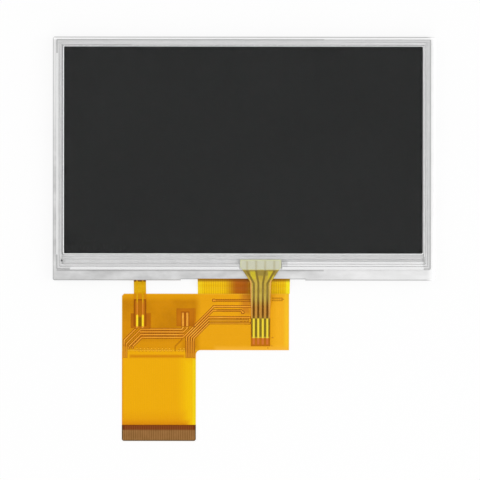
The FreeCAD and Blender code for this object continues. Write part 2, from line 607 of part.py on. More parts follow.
def rear_plate():
    """Press the tray that closes the module's back, its walls clear of the corners and the tails."""
    body = new_body("rear_plate")
    base = sketch_in(body, "XY_Plane")
    rounded_rectangle(base, "-plate_x", "plate_x", "-plate_y", "plate_y", "plate_corner")
    for x in ("-pin_x", "pin_x"):
        for y in ("-pin_y", "pin_y"):
            circle(base, x, y, "pin_diameter + 2 * pin_fit")
    pad(body, base, "plate_sheet")
    walls = sketch_in(body, "XY_Plane")
    wall_left, wall_right = "wall_start - plate_x", "plate_x - wall_start"
    wall_low, wall_high = "wall_start - plate_y", "plate_y - wall_start"
    rectangle(walls, "-plate_x", "plate_sheet - plate_x", wall_low, wall_high)
    rectangle(walls, "plate_x - plate_sheet", "plate_x", wall_low, wall_high)
    rectangle(walls, wall_left, wall_right, "plate_y - plate_sheet", "plate_y")
    for left, right in ((wall_left, "lamp_tail_left - slot_gap"),
                        ("lamp_tail_right + slot_gap", "exit_left"),
                        ("exit_right", wall_right)):
        rectangle(walls, left, right, "-plate_y", "plate_sheet - plate_y")
    pad(body, walls, "plate_wall")
    round_rim(body, "plate_x", "plate_y", "0", "plate_bend")
    for place in LONG_SIDE_SNAPS:
        lances(body, "YZ_Plane", "plate_y", "%s - snap_width / 2 + lance_fit" % place)
    for place in SHORT_SIDE_SNAPS:
        lances(body, "XZ_Plane", "plate_x", "0 - (%s) - snap_width / 2 + lance_fit" % place)


def lances(body, plane, wall, level):
    """Raise one wedge on each of two opposite walls, to catch in the bezel's snap windows."""
    wedges = sketch_in(body, plane, level)
    low = "snap_level - snap_height / 2 + lance_fit"
    high = "snap_level + snap_height / 2 - lance_fit"
    for side in ("", "-"):
        reach = "%s(%s + lance_reach)" % (side, wall)
        polygon(wedges, [(side + wall, low), (reach, low), (side + wall, high)])
    pad(body, wedges, "snap_width - 2 * lance_fit")


def front_bezel():
    """Press the bezel: a shallow lid with the screen's window and walls that wrap the rear plate."""
    body = new_body("front_bezel")
    outside = ("-bezel_x", "bezel_x", "-bezel_y", "bezel_y")
    outline = sketch_in(body, "XY_Plane", "bezel_skirt_gap")
    rounded_rectangle(outline, *outside, "bezel_corner")
    pad(body, outline, "bezel_top - bezel_skirt_gap")
    round_rim(body, "bezel_x", "bezel_y", "bezel_top", "bezel_bend")
    inside = sketch_in(body, "XY_Plane", "bezel_skirt_gap")
    rounded_rectangle(inside, *inset(outside, "bezel_sheet"), "bezel_corner - bezel_sheet")
    pocket(body, inside, "bezel_under - bezel_skirt_gap", along_normal=True)
    window = sketch_in(body, "XY_Plane", "bezel_top")
    rounded_rectangle(window, "-window_x", "window_x", "window_bottom", "window_top", "window_corner")
    pocket(body, window, "bezel_sheet")
    cut_away = sketch_in(body, "XY_Plane", "bezel_top")
    rectangle(cut_away, "exit_left", "exit_right", "-bezel_y", "exit_recess - bezel_y")
    pocket(body, cut_away, "bezel_top")
    slot = sketch_in(body, "XY_Plane", "bezel_skirt_gap")
    rectangle(slot, "lamp_tail_left - slot_gap", "lamp_tail_right + slot_gap",
              "-bezel_y", "bezel_sheet - bezel_y")
    pocket(body, slot, "guide_top + strip_sheet + slot_gap - bezel_skirt_gap", along_normal=True)
    snap_low, snap_high = "snap_level - snap_height / 2", "snap_level + snap_height / 2"
    long_sides = sketch_in(body, "XZ_Plane", "bezel_y")
    for place in LONG_SIDE_SNAPS:
        rectangle(long_sides, "%s - snap_width / 2" % place, "%s + snap_width / 2" % place,
                  snap_low, snap_high)
    pocket(body, long_sides, "module_height")
    short_sides = sketch_in(body, "YZ_Plane", "bezel_x")
    for place in SHORT_SIDE_SNAPS:
        rectangle(short_sides, "%s - snap_width / 2" % place, "%s + snap_width / 2" % place,
                  snap_low, snap_high)
    pocket(body, short_sides, "module_width")


def light_frame():
    """Mould the frame: one pocket for the back light, a wider one over it for the glass."""
    body = new_body("light_frame")
    ring = sketch_in(body, "XY_Plane", "plate_sheet")
    rectangle(ring, "-frame_x", "frame_x", "-frame_y", "frame_y")
    rectangle(ring, "-pocket_x", "pocket_x", "pocket_bottom", "pocket_top")
    pad(body, ring, "frame_top - plate_sheet")
    glass_pocket = sketch_in(body, "XY_Plane", "frame_top")
    rectangle(glass_pocket, "-glass_x - glass_fit", "glass_x + glass_fit",
              "glass_bottom - glass_fit", "glass_top + glass_fit")
    pocket(body, glass_pocket, "frame_top - upper_prism_top")
    sill = sketch_in(body, "XY_Plane", "frame_top")
    rectangle(sill, "exit_left", "exit_right", "-frame_y", "glass_bottom - glass_fit")
    pocket(body, sill, "frame_top - sill_level")
    slot = sketch_in(body, "XY_Plane", "frame_top")
    rectangle(slot, "lamp_tail_left - slot_gap", "lamp_tail_right + slot_gap",
              "-frame_y", "pocket_bottom")
    pocket(body, slot, "frame_top - guide_top + slot_gap")
    pins = sketch_in(body, "XY_Plane", "plate_sheet")
    for x in ("-pin_x", "pin_x"):
        for y in ("-pin_y", "pin_y"):
            circle(pins, x, y, "pin_diameter")
    pad(body, pins, "plate_sheet - pin_fit", reverse=True)


def back_light():
    """Stack the reflector, the light guide, the diffuser and the prism sheets in their pocket."""
    left, right = "guide_fit - pocket_x", "pocket_x - guide_fit"
    high = "pocket_top - guide_fit"
    layer("reflector_sheet", (left, right, "pocket_bottom + guide_fit", high), "plate_sheet",
          "reflector_sheet")
    layer("light_guide_plate", (left, right, "guide_bottom", high), "reflector_top", "guide_sheet")
    for label, low in (("diffuser_sheet", "guide_top"), ("lower_prism_sheet", "diffuser_top"),
                       ("upper_prism_sheet", "lower_prism_top")):
        layer(label, (left, right, "film_bottom", high), low, "film_sheet")
    layer("rim_tape", ("-glass_x", "glass_x", "glass_bottom", "glass_top"), "upper_prism_top",
          "rim_tape_sheet", openings=[(left + " + rim_tape_width", right + " - rim_tape_width",
                                       "film_bottom + rim_tape_width", high + " - rim_tape_width")])


def led_packages():
    """Line up the side-emitting diodes, each a block with a cup that faces the light guide."""
    body = new_body("led_packages")
    face = "guide_bottom - led_gap"
    left, right = "led_first - led_length / 2", "led_first + led_length / 2"
    block = sketch_in(body, "XY_Plane", "reflector_top")
    rectangle(block, left, right, face + " - led_depth", face)
    pad(body, block, "guide_sheet")
    cup = sketch_in(body, "XZ_Plane", "0 - (%s)" % face)
    rectangle(cup, left + " + led_rim", right + " - led_rim", "reflector_top + led_rim",
              "guide_top - led_rim")
    pocket(body, cup, "led_recess", along_normal=True)
    row = body.newObject("PartDesign::LinearPattern", "diode_row")
    row.Originals = [item for item in body.Group if item.TypeId in ("PartDesign::Pad", "PartDesign::Pocket")]
    axis = next(item for item in body.Origin.OriginFeatures if item.Role == "X_Axis")
    row.Direction = (axis, [""])
    row.Mode = "Spacing"
    row.setExpression("Offset", bound("led_pitch"))
    row.setExpression("Occurrences", bound("led_count"))
    body.Tip = row


LAMP_FOLD = {"top": "strip_bottom", "bend_top": "lamp_bend_top", "bend_bottom": "lamp_bend_bottom",
             "end": "lamp_tail_end", "start_level": "guide_top", "end_level": "cover_over",
             "radius": "lamp_radius"}
NECK_FOLD = {"top": "neck_top", "bend_top": "neck_bend_top", "bend_bottom": "neck_bend_bottom",
             "end": "flex_top", "start_level": "neck_start", "end_level": "0",
             "radius": "neck_radius"}
TAIL_FOLD = {"top": "tail_seal_top", "bend_top": "tail_bend_top", "bend_bottom": "tail_bend_bottom",
             "end": "tail_end", "start_level": "touch_glass_top", "end_level": "cover_over",
             "radius": "tail_radius"}


def led_strip_flex():
    """Cut the light strip: a long film over the diodes and the tail that leaves the housing."""
    body = new_body("led_strip_flex")
    strip = sketch_in(body, "XY_Plane", "guide_top")
    rectangle(strip, "-strip_x", "strip_x", "strip_bottom", "strip_top")
    pad(body, strip, "strip_sheet")
    tail = sketch_in(body, "YZ_Plane", "lamp_tail_left")
    fold_profile(tail, LAMP_FOLD, "0", "strip_sheet")
    pad(body, tail, "lamp_tail_width")


def folded_layer(label, fold, offset, sheet, left, right):
    """Extrude one layer of a folded film across the module, as stock for what is cut from it."""
    sketch = DOC.addObject("Sketcher::SketchObject", label + "_section")
    across = FreeCAD.Rotation(FreeCAD.Vector(1, 1, 1), 120)
    sketch.Placement = FreeCAD.Placement(FreeCAD.Vector(value(left), 0, 0), across)
    sketch.setExpression("Placement.Base.x", bound(left))
    fold_profile(sketch, fold, offset, sheet)
    stock = DOC.addObject("Part::Extrusion", label + "_stock")
    stock.Base = sketch
    stock.DirMode = "Custom"
    stock.Dir = FreeCAD.Vector(1, 0, 0)
    stock.setExpression("LengthFwd", bound("(%s) - (%s)" % (right, left)))
    stock.Solid = True
    return stock


def ribbon(places, widths, low, high):
    """Sweep a flat line along straight runs: one width a run, mitred turns, upright sides."""
    path = [FreeCAD.Vector(x, y, 0) for x, y in places]
    runs = [(after - before).normalize() for before, after in zip(path, path[1:])]
    normals = [FreeCAD.Vector(-run.y, run.x, 0) for run in runs]
    side = [normals[0] * (widths[0] / 2)]
    corners = [path[0]]
    for index in range(1, len(runs)):
        mitre = (normals[index - 1] + normals[index]) * (1 / (1 + normals[index - 1].dot(normals[index])))
        side.append(mitre * (widths[index - 1] / 2))
        corners.append(path[index])
        if widths[index] != widths[index - 1]:
            side.append(mitre * (widths[index] / 2))
            corners.append(path[index])
    side.append(normals[-1] * (widths[-1] / 2))
    corners.append(path[-1])
    outline = [corner + step for corner, step in zip(corners, side)]
    outline += [corner - step for corner, step in reversed(list(zip(corners, side)))]
    lift = FreeCAD.Vector(0, 0, low)
    wire = Part.makePolygon([spot + lift for spot in outline + outline[:1]])
    return Part.Face(wire).extrude(FreeCAD.Vector(0, 0, high - low))


def lines(label, ribbons):
    """Keep a set of ribbons as one object."""
    group = DOC.addObject("Part::Feature", label)
    group.Shape = Part.makeCompound(ribbons)
    group.Placement = FreeCAD.Placement()
    return group


def cut_from(label, stock, cutter):
    """Keep what a stock and a cutter share, as one piece."""
    piece = DOC.addObject("Part::Common", label)
    piece.Label = label
    piece.Base = stock
    piece.Tool = cutter
    PIECES.append(piece)
    return piece


def lamp_tail_places():
    """The middles of the light strip's two lines, across the module."""
    middle, half = value("lamp_tail_shift"), value("lamp_finger_pitch") / 2
    return middle - half, middle + half


def led_tail_conductors():
    """Run the light strip's two lines down its tail, each ending in a finger."""
    finger_top = value("lamp_tail_end + lamp_finger_length")
    ribbons = []
    for x in lamp_tail_places():
        places = ((x, value("strip_bottom")), (x, finger_top), (x, value("lamp_tail_end")))
        widths = (value("lamp_line_width"), value("finger_width"))
        ribbons.append(ribbon(places, widths, 0, value("bezel_top")))
    stock = folded_layer("led_tail_conductors", LAMP_FOLD, "strip_sheet", "copper_sheet",
                         "lamp_tail_left", "lamp_tail_right")
    cut_from("led_tail_conductors", stock, lines("led_tail_lines", ribbons))


def display_cell():
    """Stack the polarizers and the two glasses, and bond the chip and the flex on the ledge."""
    polarizer = ("-polarizer_x", "polarizer_x", "polarizer_bottom", "polarizer_top")
    layer("rear_polarizer", polarizer, "rim_tape_top", "rear_polarizer_sheet")
    layer("array_glass", ("-glass_x", "glass_x", "glass_bottom", "glass_top"),
          "rear_polarizer_top", "glass_sheet")
    layer("colour_filter_glass", ("-glass_x", "glass_x", "filter_bottom", "glass_top"),
          "array_top", "glass_sheet")
    layer("front_polarizer", polarizer, "filter_top", "front_polarizer_sheet")
    layer("driver_chip", ("-chip_length / 2", "chip_length / 2", "chip_top - chip_depth", "chip_top"),
          "array_top", "chip_sheet")
    layer("flex_bond_film", ("neck_left", "neck_right", "glass_bottom", "neck_top"),
          "array_top", "bond_sheet")


def flex_outline(sketch, end):
    """Draw the main flex's flat outline, down to the corners that end its tongue."""
    polygon(sketch, [
        ("flex_left + flex_corner_cut", "flex_top"),
        ("flex_right", "flex_top"),
        ("flex_right", "flex_bottom"),
        ("tongue_right", "flex_bottom")] + end + [
        ("flex_left", "flex_top - flex_corner_cut")])


BEVELLED_END = [("tongue_right", "tongue_bottom + tongue_corner_cut"),
                ("tongue_right - tongue_corner_cut", "tongue_bottom"),
                ("flex_left + tongue_corner_cut", "tongue_bottom"),
                ("flex_left", "tongue_bottom + tongue_corner_cut")]


def main_flex_film():
    """Cut the main flex's film: bonded end, neck that bends down, wide part and tongue."""
    body = new_body("main_flex_film")
    flat = sketch_in(body, "XY_Plane", "film_under")
    flex_outline(flat, BEVELLED_END)
    pad(body, flat, "flex_sheet")
    neck = sketch_in(body, "YZ_Plane", "neck_left")
    fold_profile(neck, NECK_FOLD, "film_under", "flex_sheet")
    pad(body, neck, "neck_width")
    add_fillet(body, upright_edges(body.Shape, ("tongue_right", "flex_bottom")), "tongue_fillet")


def line_places(index):
    """The runs of one of the main flex's conductors, from its contact to the glass."""
    middle = (value("contact_count") - 1) / 2
    turn = value("line_turn")
    contact_x = value("(flex_left + tongue_right) / 2") + (index - middle) * value("contact_pitch")
    neck_x = value("neck_shift") + (index - middle) * value("line_neck_pitch")
    row = value("line_row_top") - index * value("line_row_pitch")
    return ((contact_x, value("tongue_bottom")),
            (contact_x, value("tongue_bottom + contact_length")),
            (contact_x, row - turn),
            (contact_x + turn, row),
            (neck_x - turn, row),
            (neck_x, row + turn),
            (neck_x, value("neck_top")))


def main_flex_conductors():
    """Etch the conductors under the film: a contact, the tongue, a row across and the neck."""
    plain = value("line_width")
    widths = (value("contact_width"),) + (plain,) * 5
    top = value("bezel_top")
    ribbons = [ribbon(line_places(index), widths, -top, top)
               for index in range(int(value("contact_count")))]
    fold = dict(NECK_FOLD, end="tongue_bottom")
    stock = folded_layer("main_flex_conductors", fold, "0", "copper_sheet", "flex_left", "flex_right")
    cut_from("main_flex_conductors", stock, lines("main_flex_lines", ribbons))


def tail_places():
    """The middles of the touch tail's conductors, across the module."""
    count = int(value("tail_line_count"))
    middle = (count - 1) / 2
    return [value("tail_shift") + (index - middle) * value("tail_line_pitch") for index in range(count)]


def spare_pad_places():
    """The middles of the two spare pads, across the module."""
    left = value("spare_pad_left")
    return left, left + value("spare_pad_pitch")


def lamp_rows():
    """The places along the module of the four long rows of front traces."""
    top, pitch = value("lamp_row_top"), value("trace_pitch")
    return [top, top - pitch, top - 2 * pitch, top - 3 * pitch]


def lamp_pad_traces():
    """The slants from the lamp tail's pads to the left, with their runs down the tongue."""
    runs = []
    for index, x in enumerate(lamp_tail_places()):
        low = value("lamp_tail_end - lamp_pad_drop")
        left = value("flex_left + trace_left_inset") + index * value("trace_down_pitch")
        runs.append([(x, low), (left, low - (x - left)), (left, value("trace_end"))])
    return runs


def long_rows():
    """The four long rows: two to the spare pads and two with a slant at their left."""
    slant_x, slant_y = lamp_pad_traces()[1][0]
    first, second, third, fourth = lamp_rows()
    runs = [[(slant_x - (slant_y - first), first)],
            [(slant_x - (slant_y - second) + value("trace_gap"), second)]]
    for run, pad_x in zip(runs, spare_pad_places()):
        row = run[0][1]
        rise = value("spare_pad_bottom") - row
        run += [(pad_x - rise, row), (pad_x, row + rise)]
    low = value("slant_end")
    for index, row in enumerate((third, fourth)):
        turn = value("lamp_row_left") + index * value("trace_turn_step")
        runs.append([(turn - (row - low), low), (turn, row)])
    runs[2].append((value("touch_slant") + third - value("trace_gap"), third))
    return runs


def touch_traces():
    """The front traces at the touch tail: a row to the left, a slant and a run down the tongue."""
    pads = list(reversed(tail_places()))
    rows = [value(name) for name in ("touch_row_one", "touch_row_two", "touch_row_three", "touch_row_four")]
    pad_top = value("tail_end + tail_finger_length")
    upper, joined, middle, last = [[(x, pad_top), (x, row)] if row > pad_top else [(x, row)]
                                   for x, row in zip(pads, rows)]
    upper.append((value("touch_row_left"), rows[0]))
    via_x, via_y = value("tail_shift - via_reach"), value("via_row")
    step = value("via_step")
    to_via = [(via_x, via_y - step), (via_x - step, via_y)]
    blind = [(value("tail_shift - blind_reach"), value("blind_row"))]
    fourth = lamp_rows()[-1]
    for index, run in enumerate((joined, to_via, middle, blind, last)):
        slant = value("touch_slant") + index * value("touch_slant_pitch")
        run.append((slant + run[-1][1], run[-1][1]))
        x = value("tongue_right - tongue_trace_inset") - (4 - index) * value("trace_down_pitch")
        if index:
            run += [(x, x - slant), (x, value("trace_end"))]
        else:
            run.append((slant + fourth, fourth))
    return [upper, joined, to_via, middle, blind, last]


def main_flex_front_traces():
    """Etch the front traces with the pads of both tails and the spare pads."""
    width = value("trace_width")
    low, high = value("film_over"), value("cover_under")
    first, second, third, fourth = long_rows()
    upper, joined, *others = touch_traces()
    runs = [*lamp_pad_traces(), first, second, third, joined + fourth[::-1], upper, *others]
    shapes = [ribbon(run, [width] * (len(run) - 1), low, high) for run in map(without_repeats, runs)]
    for x in lamp_tail_places():
        shapes.append(pad_block(x, "lamp_tail_end - lamp_pad_drop", "lamp_tail_end + lamp_finger_length"))
    for x in spare_pad_places():
        shapes.append(pad_block(x, "spare_pad_bottom", "spare_pad_top"))
    for x in tail_places():
        shapes.append(pad_block(x, "tail_end - pad_drop", "tail_end + tail_finger_length"))
    whole = shapes[0].multiFuse(shapes[1:]).removeSplitter()
    traces = DOC.addObject("Part::Feature", "main_flex_front_traces")
    traces.Label = "main_flex_front_traces"
    traces.Shape = whole
    traces.Placement = FreeCAD.Placement()
    PIECES.append(traces)


def without_repeats(run):
    """Leave out a place that repeats the one before it."""
    return [place for index, place in enumerate(run) if not index or place != run[index - 1]]


def pad_block(x, low, high):
    """A solder pad in the front copper, round a middle across the module."""
    size = FreeCAD.Vector(value("pad_width"), value(high) - value(low), value("copper_sheet"))
    corner = FreeCAD.Vector(x - size.x / 2, value(low), value("film_over"))
    return Part.makeBox(size.x, size.y, size.z, corner)


def main_flex_cover():
    """Cut the cover film, with a window over each set of pads."""
    body = new_body("main_flex_cover")
    outline = sketch_in(body, "XY_Plane", "cover_under")
    flex_outline(outline, [("tongue_right", "stiffener_top"), ("flex_left", "stiffener_top")])
    margin = "cover_window_margin"
    lamp_half = "(lamp_finger_pitch + finger_width) / 2 + %s" % margin
    rectangle(outline, "lamp_tail_shift - (%s)" % lamp_half, "lamp_tail_shift + (%s)" % lamp_half,
              "lamp_tail_end - window_step", "lamp_tail_end + lamp_finger_length + window_step")
    rectangle(outline, "spare_pad_left - pad_width / 2 - %s" % margin,
              "spare_pad_left + spare_pad_pitch + pad_width / 2 + %s" % margin,
              "spare_pad_bottom + window_step", "spare_pad_top + spare_window_rise")
    tail_half = "(tail_line_count - 1) * tail_line_pitch / 2 + pad_width / 2 + window_step"
    rectangle(outline, "tail_shift - (%s)" % tail_half, "tail_shift + (%s)" % tail_half,
              "tail_end - pad_drop - window_step", "tail_end + tail_finger_length + window_step")
    pad(body, outline, "cover_sheet")
    add_fillet(body, upright_edges(body.Shape, ("tongue_right", "flex_bottom")), "tongue_fillet")


def main_flex_stiffener():
    """Cut the stiffener that backs the contacts."""
    body = new_body("main_flex_stiffener")
    outline = sketch_in(body, "XY_Plane", "film_over")
    polygon(outline, BEVELLED_END + [("flex_left", "stiffener_top - stiffener_gap"),
                                     ("tongue_right", "stiffener_top - stiffener_gap")])
    pad(body, outline, "stiffener_sheet")


def touch_panel():
    """Stack the mounting tape, the glass, the adhesive and the film of the touch panel."""
    panel = ("touch_left", "touch_right", "touch_bottom", "touch_top")
    film = inset(panel, "touch_film_inset")
    window = ("-window_x", "window_x", "window_bottom", "window_top")
    layer("touch_mount_tape", inset(panel, "mount_tape_inset"), "bezel_top", "mount_tape_sheet",
          openings=[outset(window, "mount_tape_gap")])
    layer("touch_glass", panel, "mount_tape_top", "touch_glass_sheet", radius="touch_corner")
    spacer = layer("touch_spacer", film, "touch_glass_top", "spacer_top - touch_glass_top",
                   radius="touch_corner", openings=[inset(film, "spacer_width")])
    notch = sketch_in(spacer, "XY_Plane", "spacer_top")
    rectangle(notch, "tail_left - tail_notch_gap", "tail_right + tail_notch_gap",
              film[2], film[2] + " + spacer_width")
    pocket(spacer, notch, "spacer_top - touch_glass_top")
    layer("touch_film", film, "spacer_top", "touch_film_sheet", radius="touch_corner")
    bars(inset(film, "spacer_width + bar_gap"))


def bars(inner):
    """Print the silver bars: left and right on the glass, upper and lower under the film."""
    left, right, low, high = inner
    glass = new_body("touch_glass_bars")
    outline = sketch_in(glass, "XY_Plane", "touch_glass_top")
    for outer, side, lead in ((left, "+", "tail_left - tail_notch_gap"),
                              (right, "-", "tail_right + tail_notch_gap")):
        within = "%s %s bar_width" % (outer, side)
        polygon(outline, [(outer, high), (outer, low), (lead, low), (lead, low + " + bar_width"),
                          (within, low + " + bar_width"), (within, high)])
    pad(glass, outline, "bar_sheet")
    film = new_body("touch_film_bars")
    outline = sketch_in(film, "XY_Plane", "spacer_top - bar_sheet")
    bar_low, bar_high = "tail_seal_top + bar_gap", "tail_seal_top + bar_gap + bar_width"
    step = "bar_width + bar_gap"
    rectangle(outline, "%s + %s" % (left, step), "%s - 2 * (%s)" % (right, step), bar_low, bar_high)
    lead_low = low + " + bar_width + bar_gap"
    polygon(outline, [("%s + %s" % (left, step), high),
                      ("%s + %s" % (left, step), high + " - bar_width"),
                      ("%s - %s - bar_width" % (right, step), high + " - bar_width"),
                      ("%s - %s - bar_width" % (right, step), lead_low + " + bar_width"),
                      ("tail_right + tail_notch_gap", lead_low + " + bar_width"),
                      ("tail_right + tail_notch_gap", lead_low),
                      ("%s - (%s)" % (right, step), lead_low),
                      ("%s - (%s)" % (right, step), high)])
    pad(film, outline, "bar_sheet")


def upright_prism(label, corners, height):
    """Extrude an outline upwards, as a cutter for a folded film."""
    sketch = DOC.addObject("Sketcher::SketchObject", label + "_outline")
    polygon(sketch, corners)
    prism = DOC.addObject("Part::Extrusion", label + "_prism")
    prism.Base = sketch
    prism.DirMode = "Custom"
    prism.Dir = FreeCAD.Vector(0, 0, 1)
    prism.setExpression("LengthFwd", bound(height))
    prism.Solid = True
    return prism


def round_tail_neck(prism):
    """Round a tail's outline where its flare meets the narrow part."""
    fillet = DOC.addObject("Part::Fillet", prism.Label + "_fillet")
    fillet.Base = prism
    DOC.recompute()
    radius = value("tail_fillet")
    numbers = []
    for sign in "-+":
        names = upright_edges(prism.Shape, ("tail_shift %s tail_neck_width / 2" % sign, "tail_neck_top"))
        numbers += [int(name.removeprefix("Edge")) for name in names]
    fillet.Edges = [(number, radius, radius) for number in numbers]
    return fillet


def touch_tail_film():
    """Cut the touch tail's film: wide between glass and film, flared, then narrow to its end."""
    steps = (("tail_seal_width", "tail_seal_top"), ("tail_seal_width", "tail_seal_shoulder"),
             ("tail_flare_width", "tail_flare_bottom"), ("tail_neck_width", "tail_neck_top"),
             ("tail_end_width", "tail_end"))
    corners = [("tail_shift - %s / 2" % width, along) for width, along in steps]
    corners += [("tail_shift + %s / 2" % width, along) for width, along in reversed(steps)]
    prism = upright_prism("touch_tail_film", corners, "spacer_top + tail_sheet")
    stock = folded_layer("touch_tail_film", TAIL_FOLD, "0", "tail_sheet", "tail_left", "tail_right")
    cut_from("touch_tail_film", stock, round_tail_neck(prism))


def touch_tail_conductors():
    """Print the touch tail's conductors, spread at the panel and ending in fingers."""
    middle = (value("tail_line_count") - 1) / 2
    plain = value("tail_line_width")
    ribbons = []
    for index, x in enumerate(tail_places()):
        head_x = value("tail_shift") + (index - middle) * value("tail_head_pitch")
        places = ((head_x, value("tail_seal_top - tail_line_inset")),
                  (head_x, value("tail_flare_bottom")),
                  (x, value("tail_neck_top - tail_line_inset")),
                  (x, value("tail_end")))
        ribbons.append(ribbon(places, (plain,) * 3, 0, value("spacer_top + tail_sheet")))
    stock = folded_layer("touch_tail_conductors", TAIL_FOLD, "tail_sheet", "tail_ink",
                         "tail_left", "tail_right")
    cut_from("touch_tail_conductors", stock, lines("touch_tail_lines", ribbons))


def tail_solder_joints():
    """Fill the gap between the pads and the ends of both tails."""
    body = new_body("tail_solder_joints")
    blobs = sketch_in(body, "XY_Plane", "cover_under")
    for sign in ("-", "+"):
        x = "lamp_tail_shift %s lamp_finger_pitch / 2" % sign
        rectangle(blobs, x + " - finger_width / 2", x + " + finger_width / 2",
                  "lamp_tail_end + solder_inset", "lamp_tail_end + lamp_finger_length - solder_inset")
    for index in range(int(value("tail_line_count"))):
        x = "tail_shift + (%d - (tail_line_count - 1) / 2) * tail_line_pitch" % index
        rectangle(blobs, x + " - finger_width / 2", x + " + finger_width / 2",
                  "tail_end + solder_inset", "tail_end + tail_finger_length - solder_inset")
    pad(body, blobs, "cover_sheet")


def check_document():
    """Stop if any object failed or any piece has no valid solid."""
    DOC.recompute()
    for item in DOC.Objects:
        if "Invalid" in item.State or "Error" in item.State:
            raise RuntimeError("%s failed: %s" % (item.Label, item.State))
    for piece in PIECES:
        if piece.Shape.isNull() or not piece.Shape.isValid() or not piece.Shape.Solids:
            raise RuntimeError("%s has no valid shape" % piece.Label)


def write_parts():
    """Write each piece to a file named after it."""
    os.makedirs("parts", exist_ok=True)
    for piece in PIECES:
        piece.Shape.exportStep("parts/%s.step" % piece.Label)


def main():
    """Build every piece, check them and write them."""
    rear_plate()
    light_frame()
    back_light()
    led_packages()
    led_strip_flex()
    led_tail_conductors()
    display_cell()
    main_flex_film()
    main_flex_conductors()
    main_flex_front_traces()
    main_flex_cover()
    main_flex_stiffener()
    front_bezel()
    touch_panel()
    touch_tail_film()
    touch_tail_conductors()
    tail_solder_joints()
    check_document()
    write_parts()


main()
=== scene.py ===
"""Dresses the tft display module and sets it out on a white table.

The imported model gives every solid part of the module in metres: the pressed
bezel and rear plate, the light frame with its sheets, the display cell, the
resistive touch panel and the flexible circuits. This script gives each of them
the finish of its real material and adds the small forms that are thinner than
a solid: the ridges that copper lines raise in the cover film, plated holes,
test dots and the hem round the window.
"""

import logging
from collections.abc import Callable, Iterator, Mapping, Sequence
from dataclasses import dataclass, replace
from enum import Enum
from math import cos, pi, sin
from typing import Any

import bmesh
import bpy
from bmesh.types import BMesh, BMFace, BMVert
from bpy.types import ID, Material, Mesh, Node, NodeSocket, NodeTree, Object
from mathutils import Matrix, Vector


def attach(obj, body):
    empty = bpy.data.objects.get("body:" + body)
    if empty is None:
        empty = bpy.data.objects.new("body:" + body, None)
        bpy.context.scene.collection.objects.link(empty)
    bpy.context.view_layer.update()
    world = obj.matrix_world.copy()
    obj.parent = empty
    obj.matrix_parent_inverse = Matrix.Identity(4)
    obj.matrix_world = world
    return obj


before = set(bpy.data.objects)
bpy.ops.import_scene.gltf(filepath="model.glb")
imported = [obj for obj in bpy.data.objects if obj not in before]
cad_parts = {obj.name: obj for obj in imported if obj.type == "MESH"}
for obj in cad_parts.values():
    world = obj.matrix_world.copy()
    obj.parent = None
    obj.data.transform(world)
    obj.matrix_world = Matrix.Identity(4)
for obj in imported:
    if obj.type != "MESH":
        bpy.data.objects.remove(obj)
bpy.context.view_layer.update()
NODES: dict[str, Object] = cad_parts
LOG = logging.getLogger("tft_display")
MM = 0.001
BODY = "root"
ROUND = 24  # sides of what is round
Outline = Sequence[tuple[float, float]]


# --- node trees


def linear(colour: str) -> tuple[float, float, float, float]:
    """Turns an sRGB hex colour into a linear one with full alpha.

    Args:
        colour: the colour as "#RRGGBB".

    Returns:
        Red, green, blue and alpha, each from 0 to 1.
    """
    shares = [int(colour[at : at + 2], 16) / 255 for at in (1, 3, 5)]
    red, green, blue = (
        share / 12.92 if share <= 0.04045 else ((share + 0.055) / 1.055) ** 2.4
        for share in shares
    )
    return red, green, blue, 1.0


def add_node(
    tree: NodeTree,
    kind: str,
    settings: Mapping[str, Any] | None = None,
    inputs: Mapping[str | int, Any] | None = None,
) -> Node:
    """Adds one node with its settings and its links.

    Args:
        tree: the node tree that gets it.
        kind: the node's type name.
        settings: values for the node's own properties.
        inputs: for each input socket, an output socket to link or a value.

    Returns:
        The new node.
    """
    node = tree.nodes.new(kind)
    for name, value in (settings or {}).items():
        setattr(node, name, value)
    for socket, value in (inputs or {}).items():
        if isinstance(value, NodeSocket):
            tree.links.new(value, node.inputs[socket])
        else:
            node.inputs[socket].default_value = value
    return node


def maths(tree: NodeTree, operation: str, *values: Any) -> NodeSocket:
    """Adds one sum of numbers, which are sockets or values, and gives its result."""
    kind, settings = "ShaderNodeMath", {"operation": operation}
    return add_node(tree, kind, settings, dict(enumerate(values))).outputs[0]


def vector_maths(tree: NodeTree, operation: str, *values: Any) -> NodeSocket:
    """Adds one sum of vectors, which are sockets or values, and gives its result."""
    kind, settings = "ShaderNodeVectorMath", {"operation": operation}
    return add_node(tree, kind, settings, dict(enumerate(values))).outputs[0]


def ramp_of(tree: NodeTree, factor: NodeSocket, tones: Sequence[str]) -> NodeSocket:
    """Spreads tones over the middle of a noise's range.

    Args:
        tree: the node tree.
        factor: the noise, mostly between 0.3 and 0.7.
        tones: sRGB hex colours, from the lowest value to the highest.

    Returns:
        The colour socket.
    """
    ramp = add_node(tree, "ShaderNodeValToRGB", None, {"Fac": factor})
    stops = ramp.color_ramp.elements
    low, high = 0.34, 0.66
    for count, tone in enumerate(tones):
        place = low + (high - low) * count / max(1, len(tones) - 1)
        stop = stops[count] if count < 2 else stops.new(place)
        stop.position = place
        stop.color = linear(tone)
    return ramp.outputs["Color"]


def spread(
    tree: NodeTree,
    value: NodeSocket,
    source: tuple[float, float],
    target: tuple[float, float],
    kind: str = "SMOOTHSTEP",
) -> NodeSocket:
    """Maps a value from one range to another.

    Args:
        tree: the node tree.
        value: the value.
        source: the range from which it comes.
        target: the range to which it goes.
        kind: how it runs between their ends.

    Returns:
        The new value.
    """
    return add_node(
        tree,
        "ShaderNodeMapRange",
        {"interpolation_type": kind},
        {
            "Value": value,
            "From Min": source[0],
            "From Max": source[1],
            "To Min": target[0],
            "To Max": target[1],
        },
    ).outputs[0]


